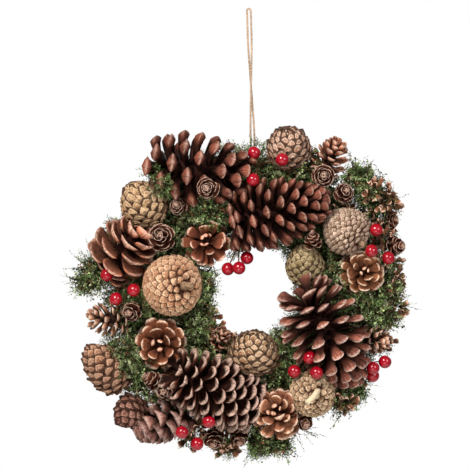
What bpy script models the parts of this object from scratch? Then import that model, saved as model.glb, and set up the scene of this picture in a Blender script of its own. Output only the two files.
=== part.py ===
"""Sequoia christmas wreath: a straw ring covered with cones, moss and red berries,
hung from a loop of jute twine.

Frame: +Z up, the face of the wreath looks along -Y, the origin is the inside top of
the twine's hanging loop. The layout tables below are in millimetres, measured from
the middle of the ring: right, up, and rise forward of the ring's flat back.
"""
import math
import random

import bmesh
import bpy
from mathutils import Vector
from mathutils.bvhtree import BVHTree

MM = 0.001
GOLDEN = math.radians(137.508)

# The ring, and where its middle stands from the hanging loop
RING_X = -0.0022
RING_Z = -0.3090
BACK_Y = 0.0100
RING_RADIUS = 0.106
RING_HALF_WIDTH = 0.040
RING_DEPTH = 0.028
RING_STATIONS = 24

# Room kept between two pieces, and the open middle of the wreath
GAP = 0.00040
HOLE_X = 1.0
HOLE_Z = -20.0
HOLE_RADIUS = 35.0

# Twine: its thickness, and the groove its tie lies in
TWINE_RADIUS = 0.0012
TIE_X = 6.6
GROOVE_DEPTH = 0.0032
GROOVE_HALF = 0.0017
GROOVE_SLOPE = 0.0006
KNOT_Z = 151.5
KNOT_RISE = 10.0
KNOT_SIZE = (0.0042, 0.0040, 0.0034)
KNOT_ENDS = 1.5

# The loop's strands: half the space between them at the ends and where they twist
LOOP_SPREAD = 0.0021
TWIST_SPREAD = 0.00145
TWIST_START = 0.12
TWIST_SHARE = 0.66
STRAND_STEPS = 14
ARC_STEPS = 7

BERRY_RADIUS = 0.0072
WIRE_RADIUS = 0.0008
WIRE_JOINT = 0.0014

# Shut cones: scales on a large and a small one, depth of the furrows, the stem's stub
CLOSED_SCALES = 52
CLOSED_SCALES_SMALL = 42
CLOSED_LARGE = 22
FURROW = 0.07
STUB_LENGTH = 0.0050
STUB_ROOT = 0.0030
STUB_END = 0.0024

# One shut cone keeps a long bent stem: reach of its root and of the rest, radius at both ends, direction
LONG_STEM = "closed_cone_bottom_right"
ROOT_REACH = 0.0055
LONG_REACH = 0.0200
LONG_ROOT = 0.0034
LONG_END = 0.0026
LONG_WAY = (-0.55, -0.60, -0.58)

# Open cones that lean far forward stand on a stalk, and so does one at the rim
STALK_LEAN = 35
STALKED_TOO = "rose_cone_far_left"
STALK_RADIUS = 0.0015
STALK_LONGEST = 0.090

# Moss: thickness of a tuft's middle, its corners, how far a spike leans over
TUFT_RADIUS = 0.0062
TUFT_POINTS = 26
SPIKE_BEND = 0.45

# name: right, up, rise of the cone's middle, heading, lean to the front, radius, length
BIG_CONES = {
    "big_cone_top_right": (35, 85, 60, 14, 8, 46, 108),
    "big_cone_right": (91, -56, 57, -60, -18, 49, 108),
    "big_cone_top_left": (-48, 130, 57, -5, 8, 47, 104),
    "big_cone_bottom": (-43, -107, 58, 155, 20, 46, 106),
}
BROAD_CONES = {
    "big_cone_left": (-134, 46, 50, 45, 32, 39, 76),
}
LESSER_CONES = {
    "big_cone_bottom_left": (-93, -147, 42, 205, 0, 28, 60),
}
ROSE_CONES = {
    "rose_cone_top": (-45, 52, 52, 90, 80, 28, 44),
    "rose_cone_left": (-95, -60, 56, 200, 84, 31, 46),
    "rose_cone_right": (127, 18, 54, 30, 78, 28, 44),
    "rose_cone_bottom": (34, -136, 55, 120, 72, 30, 48),
    "rose_cone_far_left": (-155, -33, 32, 180, 10, 25, 50),
    "rose_cone_top_right": (93, 146, 40, 62, 24, 24, 48),
    "rose_cone_far_right": (142, -56, 38, -8, 22, 20, 40),
    "rose_cone_inner": (-29, -54, 30, 60, 40, 16, 30),
}
CLOSED_CONES = {
    "closed_cone_top_left": (-114, 92, 55, 125, 35, 23, 54),
    "closed_cone_top": (46, 155, 46, 100, 50, 22, 46),
    "closed_cone_left": (-83, 4, 60, 180, -58, 32, 58),
    "closed_cone_right": (109, 64, 53, 140, -30, 25, 50),
    "closed_cone_bottom_right": (71, -116, 52, 215, -72, 24, 50),
    "closed_cone_inner": (8, -71, 47, 90, 35, 26, 42),
    "closed_cone_far_left": (-153, -89, 38, 135, 10, 21, 58),
    "closed_cone_inner_right": (64, 25, 46, 100, 30, 20, 44),
    "closed_cone_bottom_left": (-127, -135, 36, 215, 20, 17, 34),
}
ROSETTES = {
    "rosette_top_left": (-43, 111, 84, 200, 82, 14, 19),
    "rosette_upper_left": (-76, 91, 66, 150, 72, 11, 17),
    "rosette_left": (-94, 57, 74, 120, 80, 17, 22),
    "rosette_far_left": (-127, -25, 60, 200, 70, 12, 18),
    "rosette_top_right": (84, 124, 66, 60, 86, 14, 19),
    "rosette_upper_right": (107, 106, 64, 45, 72, 12, 17),
    "rosette_inner_right": (72, 54, 70, 95, 30, 11, 20),
    "rosette_bottom": (-37, -165, 40, -90, 52, 14, 20),
    "rosette_bottom_middle": (-8, -164, 40, -90, 52, 12, 19),
    "rosette_lower_left": (-104, -100, 64, 150, 25, 12, 20),
    "rosette_bottom_right": (63, -147, 50, -60, 66, 11, 16),
    "rosette_far_right": (158, 74, 38, 20, 40, 11, 16),
    "rosette_right": (163, 47, 38, 0, 40, 13, 18),
    "rosette_low_left": (-90, -112, 68, 200, 76, 12, 18),
}
# name: three berries as right, up, rise, then the place where their wires meet
BERRIES = {
    "berries_top": ((7.7, 149.6, 62), (38.5, 141.9, 74), (6.6, 119.9, 78), (16, 139, 46)),
    "berries_hole": ((0, 34.1, 50), (-20.9, 22, 52), (-8.8, 23.1, 64), (-8, 48, 38)),
    "berries_left": ((-154, 15.4, 56), (-124.3, -1.1, 66), (-144.1, -11, 58), (-140, 4, 38)),
    "berries_right": ((141.9, 64.9, 58), (136.2, 41.9, 78), (155.1, 34.1, 60), (149, 48, 42)),
    "berries_lower_right": ((68.2, -74.8, 78), (51.7, -90.2, 68), (75.9, -91.3, 82), (58, -92, 44)),
    "berries_far_right": ((138.6, -86.9, 54), (138.6, -95.7, 42), (151.8, -80.3, 48), (134, -82, 34)),
    "berries_bottom": ((-41.8, -145.2, 74), (-71.5, -157.3, 64), (-55, -170.5, 54), (-58, -152, 40)),
}
# name: the two ends of the tuft's middle as right, up, rise, then its reach
MOSS = {
    "moss_upper_left": ((-92, 128, 48), (-84, 106, 50), 22),
    "moss_top_left": ((-62, 80, 50), (-22, 88, 54), 22),
    "moss_top": ((26, 130, 38), (64, 128, 42), 24),
    "moss_upper_right": ((118, 128, 42), (144, 96, 44), 25),
    "moss_inner_right": ((94, 24, 38), (98, -8, 40), 26),
    "moss_right": ((112, -10, 50), (158, -34, 38), 22),
    "moss_lower_right": ((44, -58, 38), (41, -90, 40), 24),
    "moss_inner_left": ((-46, 16, 40), (-54, -50, 44), 20),
    "moss_lower_left": ((-142, -62, 40), (-112, -104, 46), 22),
    "moss_far_left": ((-164, 24, 32), (-178, 4, 32), 26),
    "moss_bottom_right": ((98, -124, 38), (120, -112, 36), 24),
    "moss_bottom": ((40, -166, 34), (8, -172, 34), 22),
    "moss_far_right": ((152, 10, 34), (160, -8, 34), 20),
}

LOOKS = {
    "straw": ((0.42, 0.31, 0.17), 0.85),
    "jute": ((0.60, 0.47, 0.36), 0.90),
    "brown": ((0.10, 0.052, 0.030), 0.70),
    "tan_rim": ((0.27, 0.15, 0.085), 0.70),
    "tan": ((0.45, 0.28, 0.15), 0.75),
    "rosette": ((0.20, 0.12, 0.075), 0.75),
    "berry": ((0.50, 0.008, 0.020), 0.15),
    "moss": ((0.05, 0.11, 0.025), 0.90),
}


def at(right, up, rise):
    """A place on the wreath, from the layout's millimetres."""
    return Vector((RING_X + right * MM, BACK_Y - rise * MM, RING_Z + up * MM))


def pointing(heading, lean):
    """A direction in the wreath's face, leant toward the front."""
    turn = math.radians(heading)
    tilt = math.radians(lean)
    flat = math.cos(tilt)
    return Vector((flat * math.cos(turn), -math.sin(tilt), flat * math.sin(turn)))


def across(axis):
    """Two directions square to an axis and to each other."""
    first = axis.orthogonal().normalized()
    return first, axis.cross(first)


def turned(steps):
    """Angle between two places on the spiral, the short way round."""
    return (steps * GOLDEN + math.pi) % (2 * math.pi) - math.pi


def blend(start, end, share):
    return start + (end - start) * share


def material(name, look):
    colour, rough = LOOKS[look]
    made = bpy.data.materials.new(name)
    made.use_nodes = True
    shader = made.node_tree.nodes["Principled BSDF"]
    shader.inputs["Base Color"].default_value = (*colour, 1.0)
    shader.inputs["Roughness"].default_value = rough
    return made


def piece(name, verts, faces, look, smooth=False):
    """A mesh object with its own material."""
    mesh = bpy.data.meshes.new(name)
    mesh.from_pydata([tuple(vert) for vert in verts], [], [tuple(face) for face in faces])
    mesh.update()
    mesh.polygons.foreach_set("use_smooth", [smooth] * len(mesh.polygons))
    made = bpy.data.objects.new(name, mesh)
    bpy.context.scene.collection.objects.link(made)
    mesh.materials.append(material(name + "_material", look))


class Body:
    """A closed mesh with the search tree that tells what it meets."""

    def __init__(self, verts, faces):
        self.verts = [Vector(vert) for vert in verts]
        self.faces = [tuple(face) for face in faces]
        self.tree = BVHTree.FromPolygons(self.verts, self.faces)
        self.low = [min(vert[axis] for vert in self.verts) for axis in range(3)]
        self.high = [max(vert[axis] for vert in self.verts) for axis in range(3)]

    def meets(self, other):
        for axis in range(3):
            if self.low[axis] > other.high[axis] or other.low[axis] > self.high[axis]:
                return False
        return bool(self.tree.overlap(other.tree))


def inside_bounds(verts):
    """True while a shape stays in front of the back plane and out of the hole."""
    for vert in verts:
        if vert.y > BACK_Y - GAP:
            return False
        right = (vert.x - RING_X) / MM - HOLE_X
        up = (vert.z - RING_Z) / MM - HOLE_Z
        if right * right + up * up < HOLE_RADIUS * HOLE_RADIUS:
            return False
    return True


def ring_profile(inset):
    """Half-round section as distance from the ring's middle and rise, drawn in by an inset."""
    inner = RING_RADIUS - RING_HALF_WIDTH
    outer = RING_RADIUS + RING_HALF_WIDTH
    points = [(inner, 0.0), (inner, RING_DEPTH * 0.25)]
    for step in range(1, 6):
        angle = math.pi * (1 - step / 6)
        reach = math.cos(angle) * RING_HALF_WIDTH
        points.append((RING_RADIUS + reach, RING_DEPTH * (0.25 + 0.75 * math.sin(angle))))
    points += [(outer, RING_DEPTH * 0.25), (outer, 0.0)]
    drawn = []
    for number, point in enumerate(points):
        before = Vector(point) - Vector(points[number - 1])
        after = Vector(points[(number + 1) % len(points)]) - Vector(point)
        first = Vector((before.y, -before.x)).normalized()
        second = Vector((after.y, -after.x)).normalized()
        inward = (first + second) / (1 + first.dot(second))
        drawn.append(tuple(Vector(point) + inward * inset))
    return drawn


def make_ring():
    """Straw ring with a flat back and a groove where the twine is tied."""
    stations = []
    full = ring_profile(0.0)
    narrow = ring_profile(GROOVE_DEPTH)
    tie = TIE_X * MM
    for offset, profile in ((GROOVE_HALF + GROOVE_SLOPE, full), (GROOVE_HALF, narrow),
                            (-GROOVE_HALF, narrow), (-GROOVE_HALF - GROOVE_SLOPE, full)):
        side = tie + offset
        row = [(side, math.sqrt(radius * radius - side * side), rise) for radius, rise in profile]
        stations.append(row)
    first = math.degrees(math.atan2(1.0, (tie - GROOVE_HALF) / RING_RADIUS))
    step = 360.0 / RING_STATIONS
    for number in range(1, RING_STATIONS):
        angle = math.radians(first + step * number)
        row = [(radius * math.cos(angle), radius * math.sin(angle), rise) for radius, rise in full]
        stations.append(row)
    count = len(full)
    verts = [Vector((RING_X + x, BACK_Y - rise, RING_Z + z)) for row in stations for x, z, rise in row]
    faces = []
    for number in range(len(stations)):
        ahead = (number + 1) % len(stations)
        for point in range(count):
            beside = (point + 1) % count
            near = number * count
            far = ahead * count
            faces.append((near + point, near + beside, far + beside, far + point))
    return verts, faces


def triangles(faces):
    """Faces of any number of corners cut into triangles."""
    cut = []
    for face in faces:
        for corner in range(1, len(face) - 1):
            cut.append((face[0], face[corner], face[corner + 1]))
    return cut


def tube(path, radius, sides):
    """A round rod along a path."""
    verts = []
    faces = []
    count = len(path)
    side = None
    for number, point in enumerate(path):
        before = path[max(0, number - 1)]
        after = path[min(count - 1, number + 1)]
        along = (after - before).normalized()
        if side is None:
            side = along.orthogonal().normalized()
        side = (side - along * side.dot(along)).normalized()
        up = along.cross(side)
        for corner in range(sides):
            angle = 2 * math.pi * corner / sides
            verts.append(point + (side * math.cos(angle) + up * math.sin(angle)) * radius)
    for number in range(count - 1):
        near = number * sides
        far = near + sides
        for corner in range(sides):
            beside = (corner + 1) % sides
            faces.append((near + corner, near + beside, far + beside, far + corner))
    faces.append(tuple(reversed(range(sides))))
    faces.append(tuple(range((count - 1) * sides, count * sides)))
    return verts, faces


def ball(centre, radii, level):
    """A ball of triangles, longer one way than another where the radii differ."""
    made = bmesh.new()
    bmesh.ops.create_icosphere(made, subdivisions=level, radius=1.0)
    verts = [centre + Vector((v.co.x * radii[0], v.co.y * radii[1], v.co.z * radii[2])) for v in made.verts]
    faces = [tuple(v.index for v in face.verts) for face in made.faces]
    made.free()
    return verts, faces


def joined(parts):
    """One closed skin round several overlapping closed parts."""
    group = bpy.data.collections.new("joining")
    bpy.context.scene.collection.children.link(group)
    made = []
    for number, (verts, faces) in enumerate(parts):
        mesh = bpy.data.meshes.new("part")
        mesh.from_pydata([tuple(v) for v in verts], [], faces)
        mesh.update()
        item = bpy.data.objects.new("part", mesh)
        if number:
            group.objects.link(item)
        else:
            bpy.context.scene.collection.objects.link(item)
        made.append(item)
    union = made[0].modifiers.new("join", "BOOLEAN")
    union.operation = "UNION"
    union.solver = "EXACT"
    union.operand_type = "COLLECTION"
    union.collection = group
    graph = bpy.context.evaluated_depsgraph_get()
    result = bpy.data.meshes.new_from_object(made[0].evaluated_get(graph))
    shape = bmesh.new()
    shape.from_mesh(result)
    bmesh.ops.remove_doubles(shape, verts=shape.verts, dist=0.00002)
    bmesh.ops.triangulate(shape, faces=shape.faces)
    verts = [v.co.copy() for v in shape.verts]
    faces = [tuple(v.index for v in face.verts) for face in shape.faces]
    shape.free()
    for item in made:
        bpy.data.objects.remove(item)
    bpy.data.collections.remove(group)
    return verts, faces


def section_place(radius, rise):
    """A place on the ring's section where the twine is tied."""
    side = TIE_X * MM
    return Vector((RING_X + side, BACK_Y - rise, RING_Z + math.sqrt(radius * radius - side * side)))


def make_tie():
    """Twine round the ring's section, knotted on top."""
    lift = TWINE_RADIUS + GAP
    profile = ring_profile(GROOVE_DEPTH - lift)
    path = [at(TIE_X, KNOT_Z, KNOT_RISE + KNOT_ENDS)]
    for radius, rise in reversed(profile[:-1]):
        path.append(section_place(radius, rise))
    path.append(section_place(*profile[-1]))
    path.append(at(TIE_X, KNOT_Z, KNOT_RISE - KNOT_ENDS))
    wrap = tube(path, TWINE_RADIUS, 6)
    knot = ball(at(TIE_X, KNOT_Z, KNOT_RISE), KNOT_SIZE, 1)
    return joined([knot, wrap])


def twine_path():
    """Centre line of the hanging loop, from the knot up, over and down to the knot."""
    knot_top = at(TIE_X, KNOT_Z, KNOT_RISE) + Vector((0, 0, KNOT_SIZE[2] + GAP))
    top = Vector((0, 0, TWINE_RADIUS - LOOP_SPREAD))
    rise = []
    for number in range(STRAND_STEPS + 1):
        share = number / STRAND_STEPS
        turn = math.pi * min(1.0, max(0.0, (share - TWIST_START) / TWIST_SHARE))
        pinch = math.sin(turn)
        spread = LOOP_SPREAD + (TWIST_SPREAD - LOOP_SPREAD) * pinch
        middle = blend(knot_top, top, share)
        rise.append((middle, Vector((math.cos(turn), math.sin(turn), 0)) * spread))
    left = [middle - offset for middle, offset in rise]
    right = [middle + offset for middle, offset in rise]
    arc = []
    for number in range(1, ARC_STEPS):
        angle = math.pi * number / ARC_STEPS
        arc.append(top + Vector((math.cos(angle), 0, math.sin(angle))) * LOOP_SPREAD)
    return left + arc + list(reversed(right))


def make_twine():
    """The hanging loop, a round cord drawn along its centre line."""
    points = twine_path()
    curve = bpy.data.curves.new("twine_loop", "CURVE")
    curve.dimensions = "3D"
    curve.bevel_depth = TWINE_RADIUS
    curve.bevel_resolution = 2
    curve.use_fill_caps = True
    line = curve.splines.new("POLY")
    line.points.add(len(points) - 1)
    for number, point in enumerate(points):
        line.points[number].co = (*point, 1.0)
    line.use_smooth = True
    made = bpy.data.objects.new("twine_loop", curve)
    bpy.context.scene.collection.objects.link(made)
    curve.materials.append(material("twine_loop_material", "jute"))
    return Body(*tube(points, TWINE_RADIUS + GAP, 6))


def egg(share, radius):
    """Radius of an egg-shaped cone, fuller toward its base."""
    along = 2 * share - 1
    return radius * math.sqrt(max(0.0, 1 - along * along)) * (1 - 0.22 * along)


def closed_cone(name, spec, seed):
    """A shut cone: a spiral of raised scales with furrows between, and its broken stem."""
    right, up, rise, heading, lean, radius, length = spec
    count = CLOSED_SCALES if radius > CLOSED_LARGE else CLOSED_SCALES_SMALL
    luck = random.Random(seed)
    axis = pointing(heading, lean)
    first, second = across(axis)
    base = at(right, up, rise) - axis * (length * MM / 2)
    middle = at(right, up, rise)

    def skin(share, angle, lift):
        out = egg(share, radius * MM)
        round_to = first * math.cos(angle) + second * math.sin(angle)
        place = base + axis * (share * length * MM) + round_to * out
        return middle + (place - middle) * lift

    shape = bmesh.new()
    for number in range(count):
        share = (number + 0.4) / (count - 0.2)
        shape.verts.new(skin(share, number * GOLDEN, 1.0))
    bmesh.ops.convex_hull(shape, input=shape.verts)
    for vert in [v for v in shape.verts if not v.link_faces]:
        shape.verts.remove(vert)
    shape.verts.index_update()
    shape.faces.index_update()
    verts = []
    for vert in shape.verts:
        lift = 1.0 + luck.uniform(-0.01, 0.03)
        verts.append(middle + (vert.co - middle) * lift + axis * (0.09 * radius * MM))
    start = len(verts)
    for face in shape.faces:
        verts.append(middle + (face.calc_center_median() - middle) * (1.0 - FURROW))
    lowest = min(shape.verts, key=lambda vert: (vert.co - base).dot(axis))
    faces = []
    rim = {}
    for edge in shape.edges:
        loop = edge.link_loops[0]
        near = loop.vert
        far = loop.link_loop_next.vert
        left = start + loop.face.index
        beside = start + edge.link_loops[1].face.index
        for corner, one, two in ((near, beside, left), (far, left, beside)):
            if corner == lowest:
                rim[one] = two
            else:
                faces.append((corner.index, one, two))
    order = [next(iter(rim))]
    while rim[order[-1]] != order[0]:
        order.append(rim[order[-1]])
    foot = base - axis * (0.01 * radius * MM)
    if name == LONG_STEM:
        way = Vector(LONG_WAY).normalized()
        bend = (way - axis).normalized()
        knee = foot + bend * ROOT_REACH
        steps = ((foot, LONG_ROOT, -axis), (knee, LONG_ROOT, bend), (knee + way * LONG_REACH, LONG_END, way))
    else:
        way = -axis
        steps = ((foot, STUB_ROOT, way), (foot + way * STUB_LENGTH, STUB_END, way))
    rings = []
    for centre, size, square in steps:
        ring = []
        for index in order:
            away = verts[index] - base
            away = (away - axis * away.dot(axis)).normalized()
            ring.append(len(verts))
            verts.append(centre + axis.rotation_difference(-square) @ away * size)
        rings.append(ring)
    chain = [order] + rings
    for near, far in zip(chain, chain[1:]):
        for number in range(len(near)):
            beside = (number + 1) % len(near)
            faces.append((near[number], near[beside], far[beside]))
            faces.append((near[number], far[beside], far[number]))
    verts[lowest.index] = steps[-1][0] + way * 0.0006
    for number in range(len(order)):
        beside = (number + 1) % len(order)
        faces.append((rings[-1][number], rings[-1][beside], lowest.index))
    shape.free()
    return verts, faces


class OpenCone:
    """A cone's core with a spiral of places where its scales stand out."""

    def __init__(self, name, spec, style):
        right, up, rise, heading, lean, radius, length = spec
        self.name = name
        self.style = style
        self.luck = random.Random(name)
        self.axis = pointing(heading, lean)
        self.first, self.second = across(self.axis)
        self.radius = radius * MM
        self.length = length * MM
        self.middle = at(right, up, rise)
        self.core_length = self.length * style["core_length"]
        self.core_radius = self.radius * style["core_radius"]
        self.base = self.middle - self.axis * (self.length * style["core_start"])
        self.count = style["count"]
        self.verts = []
        self.sites = []
        self.caps = []
        self.scales = []
        self.grown = []
        self.stalked = lean > STALK_LEAN or name == STALKED_TOO
        turn = self.luck.uniform(0, 2 * math.pi)
        for number in range(self.count):
            share = (number + 0.5) / self.count
            out = self.core_radius * (0.55 + 0.45 * math.sin(math.pi * (0.14 + 0.72 * share)))
            self.verts.append(self.place(share, turn + number * GOLDEN, out))
        left, right = sorted(style["spiral"], key=turned)
        across_both = left + right
        for number in range(self.count - across_both):
            share = (number + across_both / 2 + 0.5) / self.count
            corners = (number, number + right, number + across_both, number + left)
            self.sites.append((corners, share, turn + number * GOLDEN + turned(across_both) / 2))
        self.close_ends()
        self.set_foot(0.0)

    def place(self, share, angle, out):
        round_to = self.first * math.cos(angle) + self.second * math.sin(angle)
        return self.base + self.axis * (share * self.core_length) + round_to * out

    def close_ends(self):
        """Find the rim the spiral leaves at each end, and close the tip."""
        used = set()
        for corners, _, _ in self.sites:
            for number in range(4):
                used.add((corners[number], corners[(number + 1) % 4]))
        rim = {}
        for start, end in sorted(used):
            if (end, start) not in used:
                rim[end] = start
        while rim:
            start = min(rim)
            loop = [start]
            while rim[loop[-1]] != start:
                loop.append(rim[loop[-1]])
            for number in loop:
                del rim[number]
            self.caps.append(loop)
        self.tip_faces = []
        tip = len(self.verts)
        self.verts.append(self.place(1.0 + 0.25 / self.count, 0.0, 0.0))
        for number, start in enumerate(self.caps[1]):
            end = self.caps[1][(number + 1) % len(self.caps[1])]
            self.tip_faces.append((start, end, tip))
        self.footless = len(self.verts)

    def set_foot(self, reach):
        """Close the base, with a stalk of the given reach where there is one."""
        loop = self.caps[0]
        self.verts = self.verts[:self.footless]
        self.end_faces = list(self.tip_faces)
        if not reach:
            foot = len(self.verts)
            self.verts.append(self.place(-0.25 / self.count, 0.0, 0.0))
            for number, start in enumerate(loop):
                end = loop[(number + 1) % len(loop)]
                self.end_faces.append((start, end, foot))
            return
        end_place = self.place(0.0, 0.0, 0.0) - self.axis * reach
        ring = []
        for index in loop:
            away = self.verts[index] - self.base
            away = (away - self.axis * away.dot(self.axis)).normalized()
            ring.append(len(self.verts))
            self.verts.append(end_place + away * STALK_RADIUS)
        count = len(loop)
        for number in range(count):
            beside = (number + 1) % count
            self.end_faces.append((loop[number], loop[beside], ring[beside]))
            self.end_faces.append((loop[number], ring[beside], ring[number]))
        for number in range(1, count - 1):
            self.end_faces.append((ring[0], ring[number], ring[number + 1]))

    def core(self):
        faces = list(self.end_faces)
        for corners, _, _ in self.sites:
            faces.append((corners[0], corners[1], corners[2]))
            faces.append((corners[0], corners[2], corners[3]))
        return Body(self.verts, faces)

    def scale_rings(self, site, reach, tilt, swing, swell):
        """Corner rings of one scale and its tip."""
        corners, share, angle = site
        style = self.style
        angle += swing
        late = share ** style["bend_power"]
        lean = math.radians(blend(style["base_angle"], style["tip_angle"], late)) + tilt
        out = self.first * math.cos(angle) + self.second * math.sin(angle)
        along = self.axis * math.cos(lean) + out * math.sin(lean)
        over = self.axis * math.sin(lean) - out * math.cos(lean)
        side = self.axis.cross(out)
        root = sum((self.verts[corner] for corner in corners), Vector()) / 4
        fullness = 1.0 - style["end_drop"] * abs(share - 0.4) ** 1.5
        full = (self.radius - self.core_radius) * fullness
        size = (0.55 + 0.45 * reach) * (1.0 - 0.35 * share)
        rings = []
        for step, width, thick, lift in style["rings"]:
            middle = root + along * (full * reach * step) + over * (full * lift * reach)
            half = width * self.radius * size / 2 + swell
            deep = thick * MM * (0.6 + 0.4 * size) / 2 + swell
            rings.append([middle - over * deep, middle + side * half, middle + over * deep, middle - side * half])
        tip = None
        if style["point"]:
            tip = root + along * (full * reach + swell)
        return rings, tip

    def scale_body(self, site, rings, tip, whole):
        """The scale as a shape to test: whole, or without the root it shares."""
        root = [self.verts[corner] for corner in site[0]]
        if not whole:
            root = [blend(place, end, 0.5) for place, end in zip(root, rings[0])]
        chain = [root] + rings
        verts = [vert for ring in chain for vert in ring]
        faces = []
        for number in range(len(chain) - 1):
            near = range(number * 4, number * 4 + 4)
            far = range(number * 4 + 4, number * 4 + 8)
            faces += ring_walls(near, far)
        last = len(verts) - 4
        if tip is None:
            faces += [(last, last + 1, last + 2), (last, last + 2, last + 3)]
        else:
            verts.append(tip)
            faces += [(last + n, last + (n + 1) % 4, last + 4) for n in range(4)]
        return Body(verts, faces)

    def fits(self, site, reach, tilt, swing, others):
        rings, tip = self.scale_rings(site, reach, tilt, swing, GAP)
        body = self.scale_body(site, rings, tip, True)
        if not inside_bounds(body.verts):
            return False
        if any(body.meets(other) for other in others):
            return False
        body = self.scale_body(site, rings, tip, False)
        return not any(body.meets(scale) for scale in self.grown)

    def grow(self, others):
        """Grow each scale as far as its neighbours leave room."""
        near = [other for other in others if self.reaches(other)]
        for site in self.sites:
            best = (0.0, 0.0, 0.0)
            wobble = self.luck.uniform(-0.05, 0.05)
            for tilt, swing in ((0, 0), (0.14, 0), (-0.14, 0), (0, 0.16), (0, -0.16)):
                reach = self.longest(site, tilt + wobble, swing, near, best[0])
                if reach > best[0] + 0.02:
                    best = (reach, tilt + wobble, swing)
                if best[0] > 0.97:
                    break
            if best[0] < self.style["least"]:
                self.scales.append(None)
                continue
            rings, tip = self.scale_rings(site, *best, 0.0)
            self.scales.append((rings, tip))
            self.grown.append(self.scale_body(site, rings, tip, False))

    def reaches(self, other):
        far = self.radius + self.length
        for axis in range(3):
            if other.low[axis] > self.middle[axis] + far or other.high[axis] < self.middle[axis] - far:
                return False
        return True

    def longest(self, site, tilt, swing, near, floor):
        if self.fits(site, 1.0, tilt, swing, near):
            return 1.0
        low = 0.0
        high = 1.0
        if floor:
            if not self.fits(site, floor, tilt, swing, near):
                return 0.0
            low = floor
        for _ in range(5):
            half = (low + high) / 2
            if self.fits(site, half, tilt, swing, near):
                low = half
            else:
                high = half
        return low

    def skin(self):
        verts = list(self.verts)
        faces = list(self.end_faces)
        for (corners, _, _), scale in zip(self.sites, self.scales):
            if scale is None:
                faces.append((corners[0], corners[1], corners[2]))
                faces.append((corners[0], corners[2], corners[3]))
                continue
            rings, tip = scale
            near = list(corners)
            for ring in rings:
                far = list(range(len(verts), len(verts) + 4))
                verts += ring
                faces += ring_walls(near, far)
                near = far
            if tip is None:
                faces += [(near[0], near[1], near[2]), (near[0], near[2], near[3])]
            else:
                verts.append(tip)
                faces += [(near[n], near[(n + 1) % 4], len(verts) - 1) for n in range(4)]
        return verts, faces


def ring_walls(near, far):
    """Eight triangles between two rings of four, alike on both sides."""
    bottom, right, top, left = range(4)
    faces = []
    for mid, side in ((bottom, right), (top, left)):
        faces.append((near[mid], near[side], far[side]))
        faces.append((near[mid], far[side], far[mid]))
    for side, mid in ((right, top), (left, bottom)):
        faces.append((near[side], near[mid], far[side]))
        faces.append((near[mid], far[mid], far[side]))
    return faces


class Tuft:
    """A moss tuft: a slim middle with spikes all round."""

    def __init__(self, name, spec):
        start, end, reach = spec
        self.luck = random.Random(name)
        self.start = at(*start)
        self.end = at(*end)
        self.reach = reach * MM
        self.spikes = []
        self.grown = []

    def shape(self, size):
        middle = (self.start + self.end) / 2
        half = (self.end - self.start) / 2
        axis = half.normalized()
        first, second = across(axis)
        radius = TUFT_RADIUS * size
        long = half.length * size + radius
        made = bmesh.new()
        for number in range(TUFT_POINTS):
            along = (2 * number + 1) / TUFT_POINTS - 1
            out = radius * math.sqrt(1 - along * along)
            angle = number * GOLDEN
            round_to = first * math.cos(angle) + second * math.sin(angle)
            made.verts.new(middle + axis * (along * long) + round_to * out)
        bmesh.ops.convex_hull(made, input=made.verts)
        made.verts.index_update()
        self.verts = [v.co.copy() for v in made.verts]
        self.faces = [tuple(v.index for v in face.verts) for face in made.faces]
        made.free()
        return Body(self.verts, self.faces)

    def settle(self, others):
        """Shrink the core until it is clear of everything."""
        size = 1.0
        while size > 0.2:
            grown = self.shape(size + 0.12)
            if inside_bounds(grown.verts) and not any(grown.meets(other) for other in others):
                break
            size -= 0.08
        return self.shape(size)

    def spike(self, face, reach, bend, swell):
        corners = [self.verts[index] for index in face]
        root = sum(corners, Vector()) / 3
        normal = (corners[1] - corners[0]).cross(corners[2] - corners[0]).normalized()
        return root + (normal + bend * SPIKE_BEND).normalized() * (self.reach * reach + swell)

    def outer(self, face, tip):
        """The part of a spike that stands free of its neighbours' roots."""
        corners = [blend(self.verts[index], tip, 0.1) for index in face]
        return Body(corners + [tip], [(0, 1, 3), (1, 2, 3), (2, 0, 3)])

    def fits(self, face, reach, bend, others):
        tip = self.spike(face, reach, bend, 2 * GAP)
        whole = Body([self.verts[index] for index in face] + [tip], [(0, 1, 3), (1, 2, 3), (2, 0, 3)])
        if not inside_bounds(whole.verts):
            return False
        if any(whole.meets(other) for other in others):
            return False
        outer = self.outer(face, tip)
        return not any(outer.meets(spike) for spike in self.grown)

    def grow(self, others):
        for face in self.faces:
            best = (0.0, None)
            for _ in range(5):
                bend = Vector([self.luck.uniform(-1, 1) for _ in range(3)])
                target = self.luck.uniform(0.65, 1.15)
                reach = self.longest(face, bend, others, target)
                if reach > best[0]:
                    best = (reach, bend)
                if best[0] >= 0.65:
                    break
            if best[0] < 0.15:
                self.spikes.append(None)
                continue
            tip = self.spike(face, best[0], best[1], 0.0)
            self.spikes.append(tip)
            self.grown.append(self.outer(face, tip))

    def longest(self, face, bend, others, target):
        if self.fits(face, target, bend, others):
            return target
        low = 0.0
        high = target
        for _ in range(5):
            half = (low + high) / 2
            if self.fits(face, half, bend, others):
                low = half
            else:
                high = half
        return low

    def skin(self):
        verts = list(self.verts)
        faces = []
        for face, tip in zip(self.faces, self.spikes):
            if tip is None:
                faces.append(face)
                continue
            verts.append(tip)
            for number in range(3):
                faces.append((face[number], face[(number + 1) % 3], len(verts) - 1))
        return verts, faces


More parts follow.
